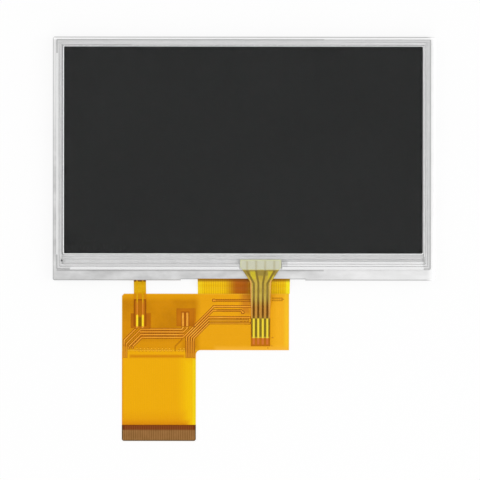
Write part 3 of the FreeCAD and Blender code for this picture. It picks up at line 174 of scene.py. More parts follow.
def noise(
    tree: NodeTree, place: NodeSocket, size: float, detail: float, harshness: float
) -> NodeSocket:
    """Adds a soft random pattern.

    Args:
        tree: the node tree.
        place: the point in millimetres.
        size: the size of its forms, in millimetres.
        detail: how many finer layers it has.
        harshness: how strong each finer layer is against the one before.

    Returns:
        The pattern, mostly between 0.3 and 0.7.
    """
    return add_node(
        tree,
        "ShaderNodeTexNoise",
        None,
        {"Vector": place, "Scale": 1 / size, "Detail": detail, "Roughness": harshness},
    ).outputs["Fac"]


# --- layers of tint


class Axis(Enum):
    """The direction in which stripes follow one another."""

    ACROSS = "X"
    ALONG = "Y"


@dataclass(frozen=True)
class Region:
    """A rectangle seen from the front, in millimetres."""

    left: float
    right: float
    lower: float
    upper: float

    def reach(self, tree: NodeTree, place: NodeSocket) -> NodeSocket:
        """Gives how far a point lies outside the rectangle.

        Args:
            tree: the node tree.
            place: the point in millimetres.

        Returns:
            The distance in millimetres, below 0 inside.
        """
        middle = (self.left + self.right) / 2, (self.lower + self.upper) / 2, 0.0
        half = (self.right - self.left) / 2, (self.upper - self.lower) / 2, 0.0
        away = vector_maths(tree, "SUBTRACT", place, middle)
        size = vector_maths(tree, "ABSOLUTE", away)
        past = vector_maths(tree, "SUBTRACT", size, half)
        parts = add_node(tree, "ShaderNodeSeparateXYZ", None, {0: past})
        return maths(tree, "MAXIMUM", parts.outputs["X"], parts.outputs["Y"])

    def grown(self, size: float) -> "Region":
        """Gives the rectangle with its sides moved out."""
        return Region(
            self.left - size, self.right + size, self.lower - size, self.upper + size
        )

    def holds(self, point: Vector) -> bool:
        """Tells whether a point in metres lies inside."""
        return (
            self.left < point.x / MM < self.right
            and self.lower < point.y / MM < self.upper
        )


def faded(
    tree: NodeTree, distance: NodeSocket, edge: float, soft: float, strength: float
) -> NodeSocket:
    """Gives a share that falls from strength to 0 within soft of a distance's edge."""
    return spread(tree, distance, (edge - soft, edge + soft), (strength, 0.0))


@dataclass(frozen=True)
class Tint:
    """A tone laid over part of a surface."""

    tone: str
    strength: float
    soft: float

    def share(self, tree: NodeTree, place: NodeSocket) -> NodeSocket:
        """Gives how much of the tone each point takes, from 0 to 1."""
        raise NotImplementedError

    def over(self, tree: NodeTree, place: NodeSocket, below: NodeSocket) -> NodeSocket:
        """Lays the tone over a colour.

        Args:
            tree: the node tree.
            place: the point in millimetres.
            below: the colour so far.

        Returns:
            The new colour.
        """
        return add_node(
            tree,
            "ShaderNodeMix",
            {"data_type": "RGBA"},
            {0: self.share(tree, place), 6: below, 7: linear(self.tone)},
        ).outputs[2]


@dataclass(frozen=True)
class Patch(Tint):
    """A tone that fills a rectangle."""

    region: Region

    def share(self, tree: NodeTree, place: NodeSocket) -> NodeSocket:
        """Gives the share inside the rectangle, fading at its edges."""
        past = self.region.reach(tree, place)
        return faded(tree, past, 0.0, self.soft, self.strength)


@dataclass(frozen=True)
class Zone:
    """A part of the cover film with its tone and that of the ridges in it, if any."""

    film: str
    ridge: str | None
    strength: float
    soft: float
    region: Region

    def patch(self, tone: str) -> Patch:
        """Gives the tint that lays a tone over the zone."""
        return Patch(tone, self.strength, self.soft, self.region)


@dataclass(frozen=True)
class Rim(Tint):
    """A line that follows a rectangle at a distance."""

    region: Region
    distance: float
    width: float

    def share(self, tree: NodeTree, place: NodeSocket) -> NodeSocket:
        """Gives the share on the line.

        Args:
            tree: the node tree.
            place: the point in millimetres.

        Returns:
            The share.
        """
        past = maths(tree, "SUBTRACT", self.region.reach(tree, place), self.distance)
        size = maths(tree, "ABSOLUTE", past)
        return faded(tree, size, self.width / 2, self.soft, self.strength)


@dataclass(frozen=True)
class Stripes(Tint):
    """Parallel lines at an even pitch inside a rectangle."""

    region: Region
    axis: Axis
    first: float
    pitch: float
    width: float

    def share(self, tree: NodeTree, place: NodeSocket) -> NodeSocket:
        """Gives the share on the lines.

        Args:
            tree: the node tree.
            place: the point in millimetres.

        Returns:
            The share.
        """
        parts = add_node(tree, "ShaderNodeSeparateXYZ", None, {0: place})
        moved = maths(tree, "SUBTRACT", parts.outputs[self.axis.value], self.first)
        away = maths(tree, "PINGPONG", moved, self.pitch / 2)
        line = faded(tree, away, self.width / 2, self.soft, self.strength)
        area = faded(tree, self.region.reach(tree, place), 0.0, 0.1, 1.0)
        return maths(tree, "MULTIPLY", line, area)


# --- finishes


@dataclass(frozen=True)
class Finish:
    """What every finish has: tones in soft patches and a fine grain.

    Attributes:
        title: the material and its process.
        tones: sRGB hex tones of the patches, darkest first.
        patch: size of the patches, in millimetres.
        grain: size of the grain, in millimetres.
        depth: height of the grain, in millimetres.
        rough: lowest and highest roughness over the grain.
        metallic: 1 for a bare metal.
        ior: refractive index; a metal keeps the default.
        shine: strength of the surface's own reflection; 0.5 is plain.
        sheer: lowest and highest share of light that it stops, met head on and
            at a glancing angle; both 1 for what can't be seen through.
        stretch: how much longer patches and grain are along X, Y and Z.
        tints: tones laid over parts of the surface.
    """

    title: str
    tones: tuple[str, ...]
    patch: float = 5.0
    grain: float = 0.5
    depth: float = 0.002
    rough: tuple[float, float] = (0.4, 0.5)
    metallic: float = 0.0
    ior: float = 1.5
    shine: float = 0.5
    sheer: tuple[float, float] = (1.0, 1.0)
    stretch: tuple[float, float, float] = (1.0, 1.0, 1.0)
    tints: tuple[Tint, ...] = ()

    def material(self) -> Material:
        """Builds the material.

        Returns:
            A material with one shader and the finish's patterns.
        """
        material = bpy.data.materials.new(self.title)
        material.use_nodes = True
        tree = material.node_tree
        tree.nodes.clear()
        point = add_node(tree, "ShaderNodeTexCoord").outputs["Object"]
        place = add_node(
            tree,
            "ShaderNodeVectorMath",
            {"operation": "SCALE"},
            {0: point, "Scale": 1 / MM},
        ).outputs[0]
        drawn = vector_maths(tree, "DIVIDE", place, self.stretch)
        patches = noise(tree, drawn, size=self.patch, detail=3.0, harshness=0.55)
        grain = noise(tree, drawn, size=self.grain, detail=2.0, harshness=0.6)
        colour = ramp_of(tree, patches, self.tones)
        for tint in self.tints:
            colour = tint.over(tree, place, colour)
        rough = spread(tree, grain, (0.3, 0.7), self.rough, "LINEAR")
        bump = add_node(
            tree,
            "ShaderNodeBump",
            None,
            {"Strength": 1.0, "Distance": self.depth * MM, "Height": grain},
        )
        shader = add_node(
            tree,
            "ShaderNodeBsdfPrincipled",
            None,
            {
                "Base Color": colour,
                "Metallic": self.metallic,
                "Roughness": rough,
                "IOR": self.ior,
                "Specular IOR Level": self.shine,
                "Normal": bump.outputs[0],
            },
        )
        if self.sheer[0] < 1.0:
            tree.links.new(self.stopped(tree), shader.inputs["Alpha"])
        surface = shader.outputs["BSDF"]
        add_node(tree, "ShaderNodeOutputMaterial", None, {"Surface": surface})
        return material

    def stopped(self, tree: NodeTree) -> NodeSocket:
        """Gives the share of light that a sheer surface stops."""
        tilt = add_node(tree, "ShaderNodeLayerWeight", None, {"Blend": 0.5})
        return spread(tree, tilt.outputs["Facing"], (0.35, 1.0), self.sheer)


WINDOW = Region(-49.75, 49.3, -26.2, 30.95)
PANEL = Region(-51.8, 51.5, -30.7, 32.9)
SHEETS = Region(-50.0, 50.0, -29.0, 31.0)

# The panel's lower right border, which meets the light, is paler than the rest.
LIT_CORNER = Patch("#FFFFFF", 0.85, 0.2, Region(12.0, 49.3, -31.0, -28.05))

# The silver there takes a little less of it.
LIT_BARS = replace(LIT_CORNER, tone="#ECECEC")

# Stainless sheet as pressed: a soft silver sheen with long faint rolling marks,
# cloudy in soft patches and paler towards the upper left and above the panel. It is
# painted lighter under the panel, to offset the shade of the glass over it, and
# painted paler to the right, where it meets the light. Lines of painted shade run
# along the panel's lower edge, round the window and along the outer bend.
BEZEL_STEEL = Finish(
    "pressed_stainless_bezel", ("#BDBDBD", "#CBCBCB", "#D8D8D8"),
    patch=3.5, grain=1.0, depth=0.0012, rough=(0.33, 0.4), metallic=1.0,
    stretch=(2.0, 1.0, 1.0),
    tints=(
        Patch("#E2E2E2", 0.9, 14.0, Region(-120.0, -36.0, 8.0, 120.0)),
        Patch("#F8F8F8", 0.9, 0.3, Region(-60.0, 60.0, 32.9, 60.0)),
        # Painted lighter under the panel, to offset the shade of the glass over it.
        Patch("#DEDEDE", 1.0, 0.05, PANEL),
        # Painted light to the lower right, where it meets the light.
        Patch("#F4F4F4", 0.85, 30.0, Region(30.0, 120.0, -80.0, -28.2)),
        # Painted shadow below the panel's lower edge.
        Patch("#9A9A9A", 0.6, 0.12, Region(-51.7, 22.0, -31.05, -30.72)),
        # Painted shade round the window.
        Rim("#8A8A8A", 0.8, 0.08, WINDOW, 0.4, 0.2),
        # Painted shade along the outer bend.
        Rim("#8E8E8E", 0.85, 0.1, Region(-52.75, 52.75, -33.6, 33.6), -0.1, 0.28),
        # Painted light down the right edge.
        Patch("#F8F8F8", 0.85, 1.0, Region(51.2, 120.0, -80.0, 80.0)),
    ),
)

# Stainless sheet as rolled: a duller grey with fine lines along its length.
PLATE_STEEL = Finish(
    "rolled_stainless_plate", ("#A9ABAC", "#B8B9BA", "#C6C7C7"),
    patch=7.0, grain=0.25, depth=0.003, rough=(0.32, 0.5), metallic=1.0,
    stretch=(16.0, 1.0, 1.0),
)

# The same sheet where the press has turned it up round the window: near white, a
# painted highlight along its fold.
HEM_STEEL = Finish(
    "stainless_hem_painted_highlight", ("#F6F6F6", "#FFFFFF"),
    patch=6.0, depth=0.001, rough=(0.2, 0.3), metallic=1.0,
)

# White polycarbonate from a spark-eroded mould: bright and faintly sandy.
FRAME_PLASTIC = Finish(
    "moulded_white_polycarbonate", ("#E4E4DF", "#EEEEEA", "#F3F3F0"),
    patch=6.0, grain=0.4, depth=0.006, rough=(0.42, 0.56), ior=1.58,
)

# Voided polyester film: paper white with a pearly gloss.
REFLECTOR_FILM = Finish(
    "cast_white_polyester_reflector", ("#EFF0F1", "#F9F9F9"),
    patch=9.0, grain=0.6, rough=(0.22, 0.34), ior=1.6,
)

# Clear acrylic, moulded: water-white with a faint green at its cut edges.
GUIDE_ACRYLIC = Finish(
    "moulded_clear_acrylic", ("#DDE9E4", "#EBF3F0"),
    patch=4.0, depth=0.004, rough=(0.05, 0.12), ior=1.49, sheer=(0.35, 0.7),
)

# Polyester with cast prisms: milky, with a silky sheen across its ridges. The
# real ridges are 0.05 mm apart and are drawn ten times coarser, so that they show.
OPTICAL_FILM = Finish(
    "cast_prism_film", ("#DDE0E2", "#E9EBEC"),
    patch=8.0, depth=0.003, rough=(0.3, 0.45), ior=1.57,
    tints=(Stripes("#F6F7F8", 0.5, 0.1, SHEETS, Axis.ALONG, 0.0, 0.5, 0.2),),
)

# Black polyester tape, calendered: deep matt black.
RIM_TAPE = Finish(
    "calendered_black_tape", ("#0C0C0D", "#161617"),
    patch=2.0, grain=0.4, rough=(0.5, 0.65),
)

# Iodine-dyed polarizing film, stretched and hard coated: near black, with painted
# shade deepening it along the window's edge, where the bezel's walls shade it.
POLARIZER = Finish(
    "stretched_dyed_polarizer", ("#0B0B0B", "#0D0D0D", "#0F0F0F"),
    patch=40.0, grain=3.0, depth=0.00005, rough=(0.1, 0.12), shine=0.28,
    # Painted shade along the window's edge.
    tints=(Rim("#020202", 0.8, 0.35, WINDOW, -0.3, 1.4),),
)

# Fusion-drawn display glass: clear, and green where it is looked through edgewise.
CELL_GLASS = Finish(
    "drawn_display_glass", ("#274038", "#325046"),
    patch=12.0, grain=3.0, depth=0.0002, rough=(0.03, 0.06), ior=1.52,
    sheer=(0.4, 0.85),
)

# Silicon, back-lapped: a dark mirror with a blue cast.
CHIP_SILICON = Finish(
    "lapped_silicon", ("#2B2E35", "#3B3F49"),
    patch=3.0, grain=0.3, depth=0.0005, rough=(0.16, 0.26), metallic=0.4, ior=3.4,
)

# Resin film full of gold-plated beads: a dull brown-gold.
BOND_FILM = Finish(
    "cured_conductive_film", ("#6F5320", "#8A6A30", "#A5834A"),
    patch=0.4, grain=0.15, depth=0.003, rough=(0.4, 0.6),
)

NECK = Region(-12.8, 12.7, -37.6, -29.0)
TONGUE = Region(-33.8, -13.3, -80.0, -53.0)
CONTACTS = Region(-34.0, -13.0, -79.0, -75.2)
CONTACT_ENDS = Region(-33.0, -14.0, -75.1, -73.9)

# Polyimide film, cast: clear amber, golden where light comes through at the fold
# and orange over copper. The touch tail's shadow is painted red-brown across it
# beside the tail, and painted shade darkens the neck's top at the bezel's edge.
FLEX_POLYIMIDE = Finish(
    "cast_polyimide_film", ("#BA6A04", "#C47206", "#CC7A0A"),
    patch=6.0, grain=0.6, depth=0.003, rough=(0.26, 0.38), ior=1.7, shine=0.05,
    tints=(
        Patch("#F4C606", 1.0, 0.3, NECK),
        Stripes("#D69C04", 0.65, 0.08, NECK, Axis.ACROSS, -12.14, 0.62, 0.2),
        Patch("#FFF028", 0.85, 0.5, Region(11.6, 13.5, -38.0, -29.0)),
        Patch("#F8D818", 0.6, 0.7, Region(-13.5, -11.4, -38.0, -29.0)),
        # Painted shadow of the touch tail.
        Patch("#AE4E06", 0.9, 2.2, Region(-4.0, 2.2, -39.5, -29.0)),
        # Painted shade along the neck's top, at the bezel's edge.
        Patch("#8E4E0C", 0.75, 0.35, Region(-14.0, 13.5, -33.9, -29.0)),
        Patch("#9C4A00", 0.75, 0.2, Region(-17.45, -15.15, -47.2, -42.3)),
    ),
)

# From top to bottom: the cut edge, the part right of the lines, the touch tail's
# painted shadow, the strips beside the windows, the row of dots, and the tongue
# with its edge and ends.
COVER_ZONES = (
    Zone("#ECA202", "#F0A604", 0.85, 0.9, Region(-40.0, 20.0, -38.8, -30.0)),
    Zone("#F0A80E", "#F3AC12", 0.9, 1.2, Region(-12.8, 20.0, -60.0, -36.0)),
    Zone("#FAB41E", "#FCB822", 0.9, 1.5, Region(8.2, 20.0, -60.0, -36.0)),
    Zone("#FCC626", "#FECA2A", 0.8, 0.5, Region(11.2, 20.0, -60.0, -36.0)),
    Zone("#FCB834", None, 0.8, 0.8, Region(-8.0, 20.0, -60.0, -52.0)),
    # Painted shadow of the touch tail, on the film and on its ridges.
    Zone("#CE7E1C", "#D2821E", 0.85, 1.0, Region(-0.8, 1.8, -43.0, -36.0)),
    Zone("#C47204", "#C87606", 0.9, 0.12, Region(-14.2, -13.35, -46.5, -41.3)),
    Zone("#BE6C02", "#C27004", 0.9, 0.12, Region(-26.5, -25.75, -47.0, -42.7)),
    Zone("#E29804", "#E69C06", 0.8, 0.8, Region(-31.0, -17.2, -55.0, -50.4)),
    Zone("#F0AC02", "#F4B104", 1.0, 0.9, TONGUE),
    Zone("#F8C402", "#FACA08", 0.9, 2.2, Region(-16.8, -10.0, -76.0, -55.5)),
    Zone("#F4D818", None, 0.9, 0.35, Region(-14.2, -10.0, -76.0, -55.5)),
    Zone("#D07E04", "#D48206", 0.8, 0.35, Region(-31.6, -16.5, -55.1, -54.3)),
    Zone("#E89E02", "#ECA204", 0.7, 2.0, Region(-40.0, -16.5, -76.0, -70.6)),
    Zone("#D88404", "#DC8806", 0.85, 1.2, Region(-40.0, -15.5, -74.5, -72.8)),
)

# Polyimide cover film, pressed on with acrylic adhesive: orange over the crowded
# lines, golden at the cut edges and where only the film shows.
FLEX_COVER = Finish(
    "laminated_polyimide_cover", ("#C88000", "#D08700", "#D88D02"),
    patch=7.0, grain=0.7, depth=0.003, rough=(0.26, 0.36), ior=1.7, shine=0.05,
    tints=(
        *(zone.patch(zone.film) for zone in COVER_ZONES),
        Rim("#F2C63C", 0.8, 0.12, Region(-33.8, 12.5, -53.2, -37.35), -0.1, 0.14),
    ),
)

# The ridges over the copper lines catch more light than the film between them.
LINE_RIDGES = replace(
    FLEX_COVER,
    title="cover_film_over_lines",
    tones=("#CC8402", "#D48B02", "#DC9204"),
    rough=(0.22, 0.32), depth=0.001,
    tints=tuple(zone.patch(zone.ridge) for zone in COVER_ZONES if zone.ridge),
)

# Film drawn down tight over a trace: the brightest orange, between dark flanks.
TRACE_RIDGES = Finish(
    "cover_film_over_traces", ("#EE9A20", "#F4A42A", "#FCB236"),
    depth=0.001, rough=(0.22, 0.3), ior=1.7, shine=0.1,
    tints=(
        Patch("#CE860A", 0.9, 0.08, Region(-7.85, 3.0, -39.6, -38.8)),
        Patch("#CE8612", 0.85, 0.08, Region(-7.6, -0.85, -42.35, -41.7)),
        Patch("#E09C16", 0.75, 0.1, Region(-9.8, 2.2, -45.9, -44.3)),
        Patch("#D88A18", 0.9, 0.3, Region(-16.3, -13.4, -56.0, -50.4)),
        Patch("#DA8E12", 0.9, 0.3, Region(-40.0, -32.0, -56.0, -51.4)),
    ),
)

# The same film where it slopes down beside them: red-brown, in its own shade.
TRACE_SIDES = Finish(
    "cover_film_beside_traces", ("#8E4600", "#9A4E00", "#A65802"),
    patch=3.0, depth=0.001, rough=(0.3, 0.4), ior=1.7, shine=0.05,
    tints=(
        Patch("#C07414", 0.85, 0.15, Region(-15.7, -13.85, -53.6, -50.4)),
        Patch("#CC8212", 0.85, 0.3, Region(-16.3, -13.4, -56.0, -53.7)),
        Patch("#D28812", 0.9, 0.3, Region(-40.0, -32.0, -56.0, -51.9)),
    ),
)

# Small bumps over the row of plated holes: as bright as the film round them.
DOT_TOPS = replace(
    TRACE_RIDGES, title="cover_film_over_dots", tones=("#FAB01C", "#FFBA28")
)

# Rolled copper, etched: salmon brown under its amber film, and gilt at the
# contacts, where it is bare.
FLEX_COPPER = Finish(
    "etched_rolled_copper", ("#B8651E", "#C97528", "#D48238"),
    patch=4.0, grain=0.3, rough=(0.3, 0.42), metallic=1.0,
    tints=(Patch("#E8C35A", 1.0, 0.15, Region(-34.0, -13.0, -79.0, -74.1)),),
)

# Bare pads, gilt: honey yellow, and redder where the solder's flux has browned them.
FRONT_COPPER = Finish(
    "gilt_copper_pads", ("#DE9428", "#E69C2E", "#EEA838"),
    patch=1.2, grain=0.3, rough=(0.3, 0.42), metallic=0.8,
    tints=(Patch("#C8642C", 0.8, 0.2, Region(1.5, 8.0, -52.5, -49.7)),),
)

# Polyimide board glued under the contacts: red-brown and matt, darkest where
# the cover film ends, with the lines showing faintly through it.
STIFFENER = Finish(
    "glued_polyimide_stiffener", ("#7E5626", "#865C2C", "#8E6232"),
    patch=2.0, grain=0.4, depth=0.003, rough=(0.42, 0.54), ior=1.7, shine=0.05,
    tints=(
        Patch("#722E02", 0.9, 0.25, Region(-34.0, -13.0, -75.05, -73.0)),
        Stripes("#B88654", 0.6, 0.08, CONTACTS, Axis.ACROSS, -33.3, 0.5, 0.2),
        Stripes("#A05A28", 0.6, 0.08, CONTACT_ENDS, Axis.ACROSS, -33.3, 0.5, 0.2),
        Rim("#4C3E14", 0.8, 0.12, Region(-33.8, -13.3, -78.15, -73.0), -0.14, 0.26),
    ),
)

# Silver ink, screened and baked: bright, pale and slightly grainy.
SILVER_INK = Finish(
    "screened_silver_ink", ("#D0D0D0", "#D8D8D8"),
    patch=1.5, grain=0.25, rough=(0.4, 0.52), metallic=0.6,
    tints=(LIT_BARS,),
)

# The same ink on the film, nearer to the light, and so painted a little darker.
# Its upper bars are painted lighter, to offset the shade over them, and its right
# bar is painted near white, a painted highlight beside the window.
FILM_SILVER = replace(
    SILVER_INK,
    title="screened_silver_ink_on_film",
    tones=("#C6C6C6", "#CECECE"),
    tints=(
        LIT_BARS,
        # Painted lighter, to offset the shade over the upper bars.
        Patch("#DCDCDC", 0.9, 0.2, Region(-60.0, 60.0, 31.2, 32.2)),
        # Painted highlight on the right bar.
        Patch("#FAFAFA", 0.9, 0.1, Region(49.0, 50.3, -27.0, 31.1)),
    ),
)

# Acrylic adhesive, die cut: a soft translucent grey, whiter along the lower side,
# with a line of painted shade just inside the panel's edge and painted light at
# its lower right corner.
TOUCH_ADHESIVE = Finish(
    "die_cut_acrylic_adhesive", ("#D6D6D6", "#DEDEDE"),
    patch=3.0, depth=0.004, rough=(0.45, 0.6), ior=1.47,
    tints=(
        # Painted shade just inside the panel's edge.
        Rim("#9B9B9B", 0.7, 0.12, PANEL, -0.25, 0.35),
        Patch("#F6F6F6", 0.85, 0.1, Region(-51.9, -51.3, -26.5, 29.0)),
        Patch("#E8E8E8", 0.85, 0.12, Region(22.0, 60.0, 32.6, 33.4)),
        LIT_CORNER,
        Patch("#F2F2F2", 0.95, 0.15, Region(-47.9, 49.5, -31.0, -29.7)),
    ),
)

# Foam tape, die cut: chalk white, with a grey shadow along its inner edge.
MOUNT_TAPE = Finish(
    "die_cut_foam_tape", ("#EAEAEA", "#F2F2F2"),
    patch=2.0, grain=0.35, depth=0.003, rough=(0.55, 0.7), ior=1.47,
    tints=(
        Patch("#A0A0A0", 0.85, 0.08, Region(-50.4, -50.0, -26.4, 31.6)),
        Patch("#B4B4B4", 0.6, 0.08, Region(-50.4, -31.0, 31.2, 31.6)),
        LIT_CORNER,
    ),
)

# Float glass with a tin-oxide coat: clear, with a cold green rim. Like the film over
# it, it stops next to none of the light, as more would only speckle the dark screen.
TOUCH_GLASS = Finish(
    "coated_float_glass", ("#2C3A34", "#3A4A43"),
    patch=20.0, grain=6.0, depth=0.0002, rough=(0.02, 0.04), ior=1.52,
    sheer=(0.012, 0.012),
)

# Hard-coated polyester: clear, with the softest gloss and a faint waviness.
TOUCH_FILM = Finish(
    "hard_coated_polyester", ("#33373A", "#3E4245"),
    patch=18.0, grain=5.0, depth=0.0002, rough=(0.05, 0.09), ior=1.57,
    sheer=(0.012, 0.012),
)

# Polyester tail, slightly yellowed by its adhesive: olive and half see-through,
# paler where it is sealed between the glass and the film, and dark between the
# bare fingers, where the glue under it shows. A painted highlight runs down each
# edge of its narrow part.
TAIL_FILM = Finish(
    "laminated_polyester_tail", ("#C8AA34", "#D2B43E", "#DABC48"),
    patch=2.5, depth=0.003, rough=(0.2, 0.32), ior=1.57, shine=0.2, sheer=(0.8, 0.95),
    tints=(
        Patch("#E4E5CE", 0.95, 0.2, Region(-3.0, 12.0, -30.65, -27.0)),
        Rim("#E8EBB4", 0.7, 0.12, Region(-1.0, 10.1, -30.7, -27.9), -0.15, 0.25),
        Patch("#A08A3E", 0.8, 0.3, Region(-3.0, 12.0, -32.3, -30.75)),
        Patch("#E2CE2A", 0.9, 0.3, Region(1.7, 3.2, -33.3, -31.1)),
        Patch("#E2CE2A", 0.9, 0.3, Region(6.6, 8.1, -33.3, -31.1)),
        Patch("#D8923A", 0.8, 1.6, Region(0.0, 9.0, -44.4, -40.0)),
        Patch("#86700A", 0.95, 0.15, Region(0.0, 9.0, -49.3, -44.2)),
        # Painted highlights down the edges of the narrow part.
        Patch("#F2B45C", 0.9, 0.1, Region(1.6, 2.1, -44.2, -33.5)),
        Patch("#F2B45C", 0.9, 0.1, Region(7.1, 7.6, -44.2, -33.5)),
    ),
)

# Carbon ink over silver, screened: dark brown lines, and bare gold-coloured
# fingers at the end.
TAIL_INK = Finish(
    "screened_tail_ink", ("#86702A", "#907A32"),
    patch=0.7, grain=0.2, depth=0.004, rough=(0.3, 0.45), shine=0.1,
    tints=(
        Patch("#CDCBAE", 0.85, 0.25, Region(-3.0, 12.0, -30.7, -27.0)),
        Patch("#683C02", 0.95, 1.8, Region(0.0, 9.2, -44.4, -39.2)),
        Patch("#F8DC3C", 1.0, 0.15, Region(0.0, 9.2, -50.0, -44.2)),
    ),
)

# Tin solder, reflowed: bright and bead-like.
SOLDER = Finish(
    "reflowed_tin_solder", ("#B9B4A4", "#D2CDBE"),
    patch=0.6, grain=0.3, depth=0.01, rough=(0.2, 0.32), metallic=1.0,
)

# Epoxy lamp bodies, moulded: chalk white round a yellow cup.
DIODE_RESIN = Finish(
    "moulded_lamp_epoxy", ("#ECEBDD", "#F5F4E9"),
    patch=1.0, grain=0.2, depth=0.003, rough=(0.35, 0.5), ior=1.53,
)

# The lamp strip's polyimide: the same amber, golden over the white table, and
# brown where it is glued down over the main circuit. A line of painted shadow
# crosses it where it comes out from under the bezel.
STRIP_POLYIMIDE = Finish(
    "cast_polyimide_strip", ("#D6A202", "#DEAB04", "#E6B206"),
    patch=2.5, grain=0.4, depth=0.003, rough=(0.26, 0.38), ior=1.7, shine=0.05,
    tints=(
        Patch("#D88A04", 0.9, 0.5, Region(-31.0, -26.0, -39.2, -37.1)),
        Patch("#B86404", 0.9, 0.25, Region(-31.0, -26.0, -47.0, -38.9)),
        Patch("#7E5800", 0.8, 0.3, Region(-29.6, -28.0, -46.5, -43.8)),
        Rim("#8E4200", 0.8, 0.12, Region(-30.5, -27.1, -50.0, -38.9), -0.15, 0.3),
        # Painted shadow where the strip comes out from under the bezel.
        Patch("#7A3C02", 0.95, 0.12, Region(-31.0, -26.0, -34.0, -33.0)),
    ),
)

# Its copper, etched: yellow under the film and bright gold at the fingers.
STRIP_COPPER = Finish(
    "etched_strip_copper", ("#D69E02", "#E0A806"),
    patch=1.5, grain=0.3, rough=(0.3, 0.42), metallic=0.5, shine=0.1,
    tints=(
        Patch("#DA8624", 1.0, 0.8, Region(-31.0, -26.0, -47.0, -39.8)),
        Patch("#FFDC28", 1.0, 0.15, Region(-31.0, -26.0, -47.0, -43.2)),
    ),
)

# Printing ink: a soft dark grey.
PRINTED_DOT = Finish(
    "printed_black_ink", ("#4A4A4A", "#5A5A5A"), patch=0.3, grain=0.1, rough=(0.5, 0.6)
)


# --- building pieces


def dress(node: str, finish: Finish) -> str:
    """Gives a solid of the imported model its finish.

    Args:
        node: the solid's name.
        finish: the finish.

    Returns:
        The solid's name.
    """
    mesh = NODES[node].data
    mesh.materials.clear()
    mesh.materials.append(finish.material())
    return node


def add_object(name: str, data: ID) -> Object:
    """Adds an object to the scene.

    Args:
        name: its name.
        data: its mesh, lamp or camera.

    Returns:
        The new object.
    """
    thing = bpy.data.objects.new(name, data)
    bpy.context.scene.collection.objects.link(thing)
    return thing


def mesh_from(name: str, shape: BMesh) -> Mesh:
    """Turns a finished shape into a mesh and frees it.

    Args:
        name: the mesh's name.
        shape: the shape.

    Returns:
        The mesh.
    """
    mesh = bpy.data.meshes.new(name)
    shape.to_mesh(mesh)
    shape.free()
    return mesh


def add_piece(name: str, shape: BMesh, slot: str, *finishes: Finish) -> str:
    """Adds a piece of the scene's own and lets it ride with the module.

    Args:
        name: the piece's name.
        shape: its finished shape, in place.
        slot: the name of a material slot; not used.
        finishes: one finish for each material index of the shape.

    Returns:
        The piece's name.
    """
    mesh = mesh_from(name, shape)
    piece = add_object(name, mesh)
    for finish in finishes:
        mesh.materials.append(finish.material())
    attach(piece, BODY)
    return name


def prism(
    shape: BMesh, outline: Outline, floor: float, rise: float, shoulder: float
) -> None:
    """Adds a low prism with sloping shoulders.

    Args:
        shape: the shape that gets it.
        outline: its corners seen from the front, in millimetres.
        floor: height of its foot, in millimetres.
        rise: its height.
        shoulder: width of the slope round its top.
    """
    corners = [shape.verts.new((x * MM, y * MM, floor * MM)) for x, y in outline]
    foot = shape.faces.new(corners)
    foot.normal_update()
    if foot.normal.z < 0:
        foot.normal_flip()
    bmesh.ops.inset_region(
        shape,
        faces=[foot],
        thickness=shoulder * MM,
        depth=rise * MM,
        use_boundary=True,
        use_even_offset=True,
    )


def polygon(x: float, y: float, radius: float, sides: int) -> Outline:
    """Gives the corners of a regular polygon, in millimetres."""
    turns = [2 * pi * count / sides for count in range(sides)]
    return [(x + radius * cos(turn), y + radius * sin(turn)) for turn in turns]


def ribbon_outline(path: Outline, width: float) -> Outline:
    """Gives the outline of a line of even width along a path.

    Args:
        path: the points of the middle line, in millimetres.
        width: the line's width.

    Returns:
        The corners, up one side and down the other.
    """
    points = [Vector(point) for point in path]
    left: list[tuple[float, float]] = []
    right: list[tuple[float, float]] = []
    for count, point in enumerate(points):
        before = points[max(0, count - 1)]
        after = points[min(len(points) - 1, count + 1)]
        into = (point - before).normalized() if count else (after - point).normalized()
        out = (after - point).normalized() if count < len(points) - 1 else into
        side = Vector((-(into + out).y, (into + out).x)).normalized()
        reach = side * (width / 2 / max(0.3, side.dot(Vector((-out.y, out.x)))))
        left.append(tuple(point + reach))
        right.append(tuple(point - reach))
    return left + right[::-1]


@dataclass(frozen=True)
class Bump:
    """A low form in the cover film, with sloping shoulders, in millimetres."""

    outline: Outline
    rise: float
    shoulder: float


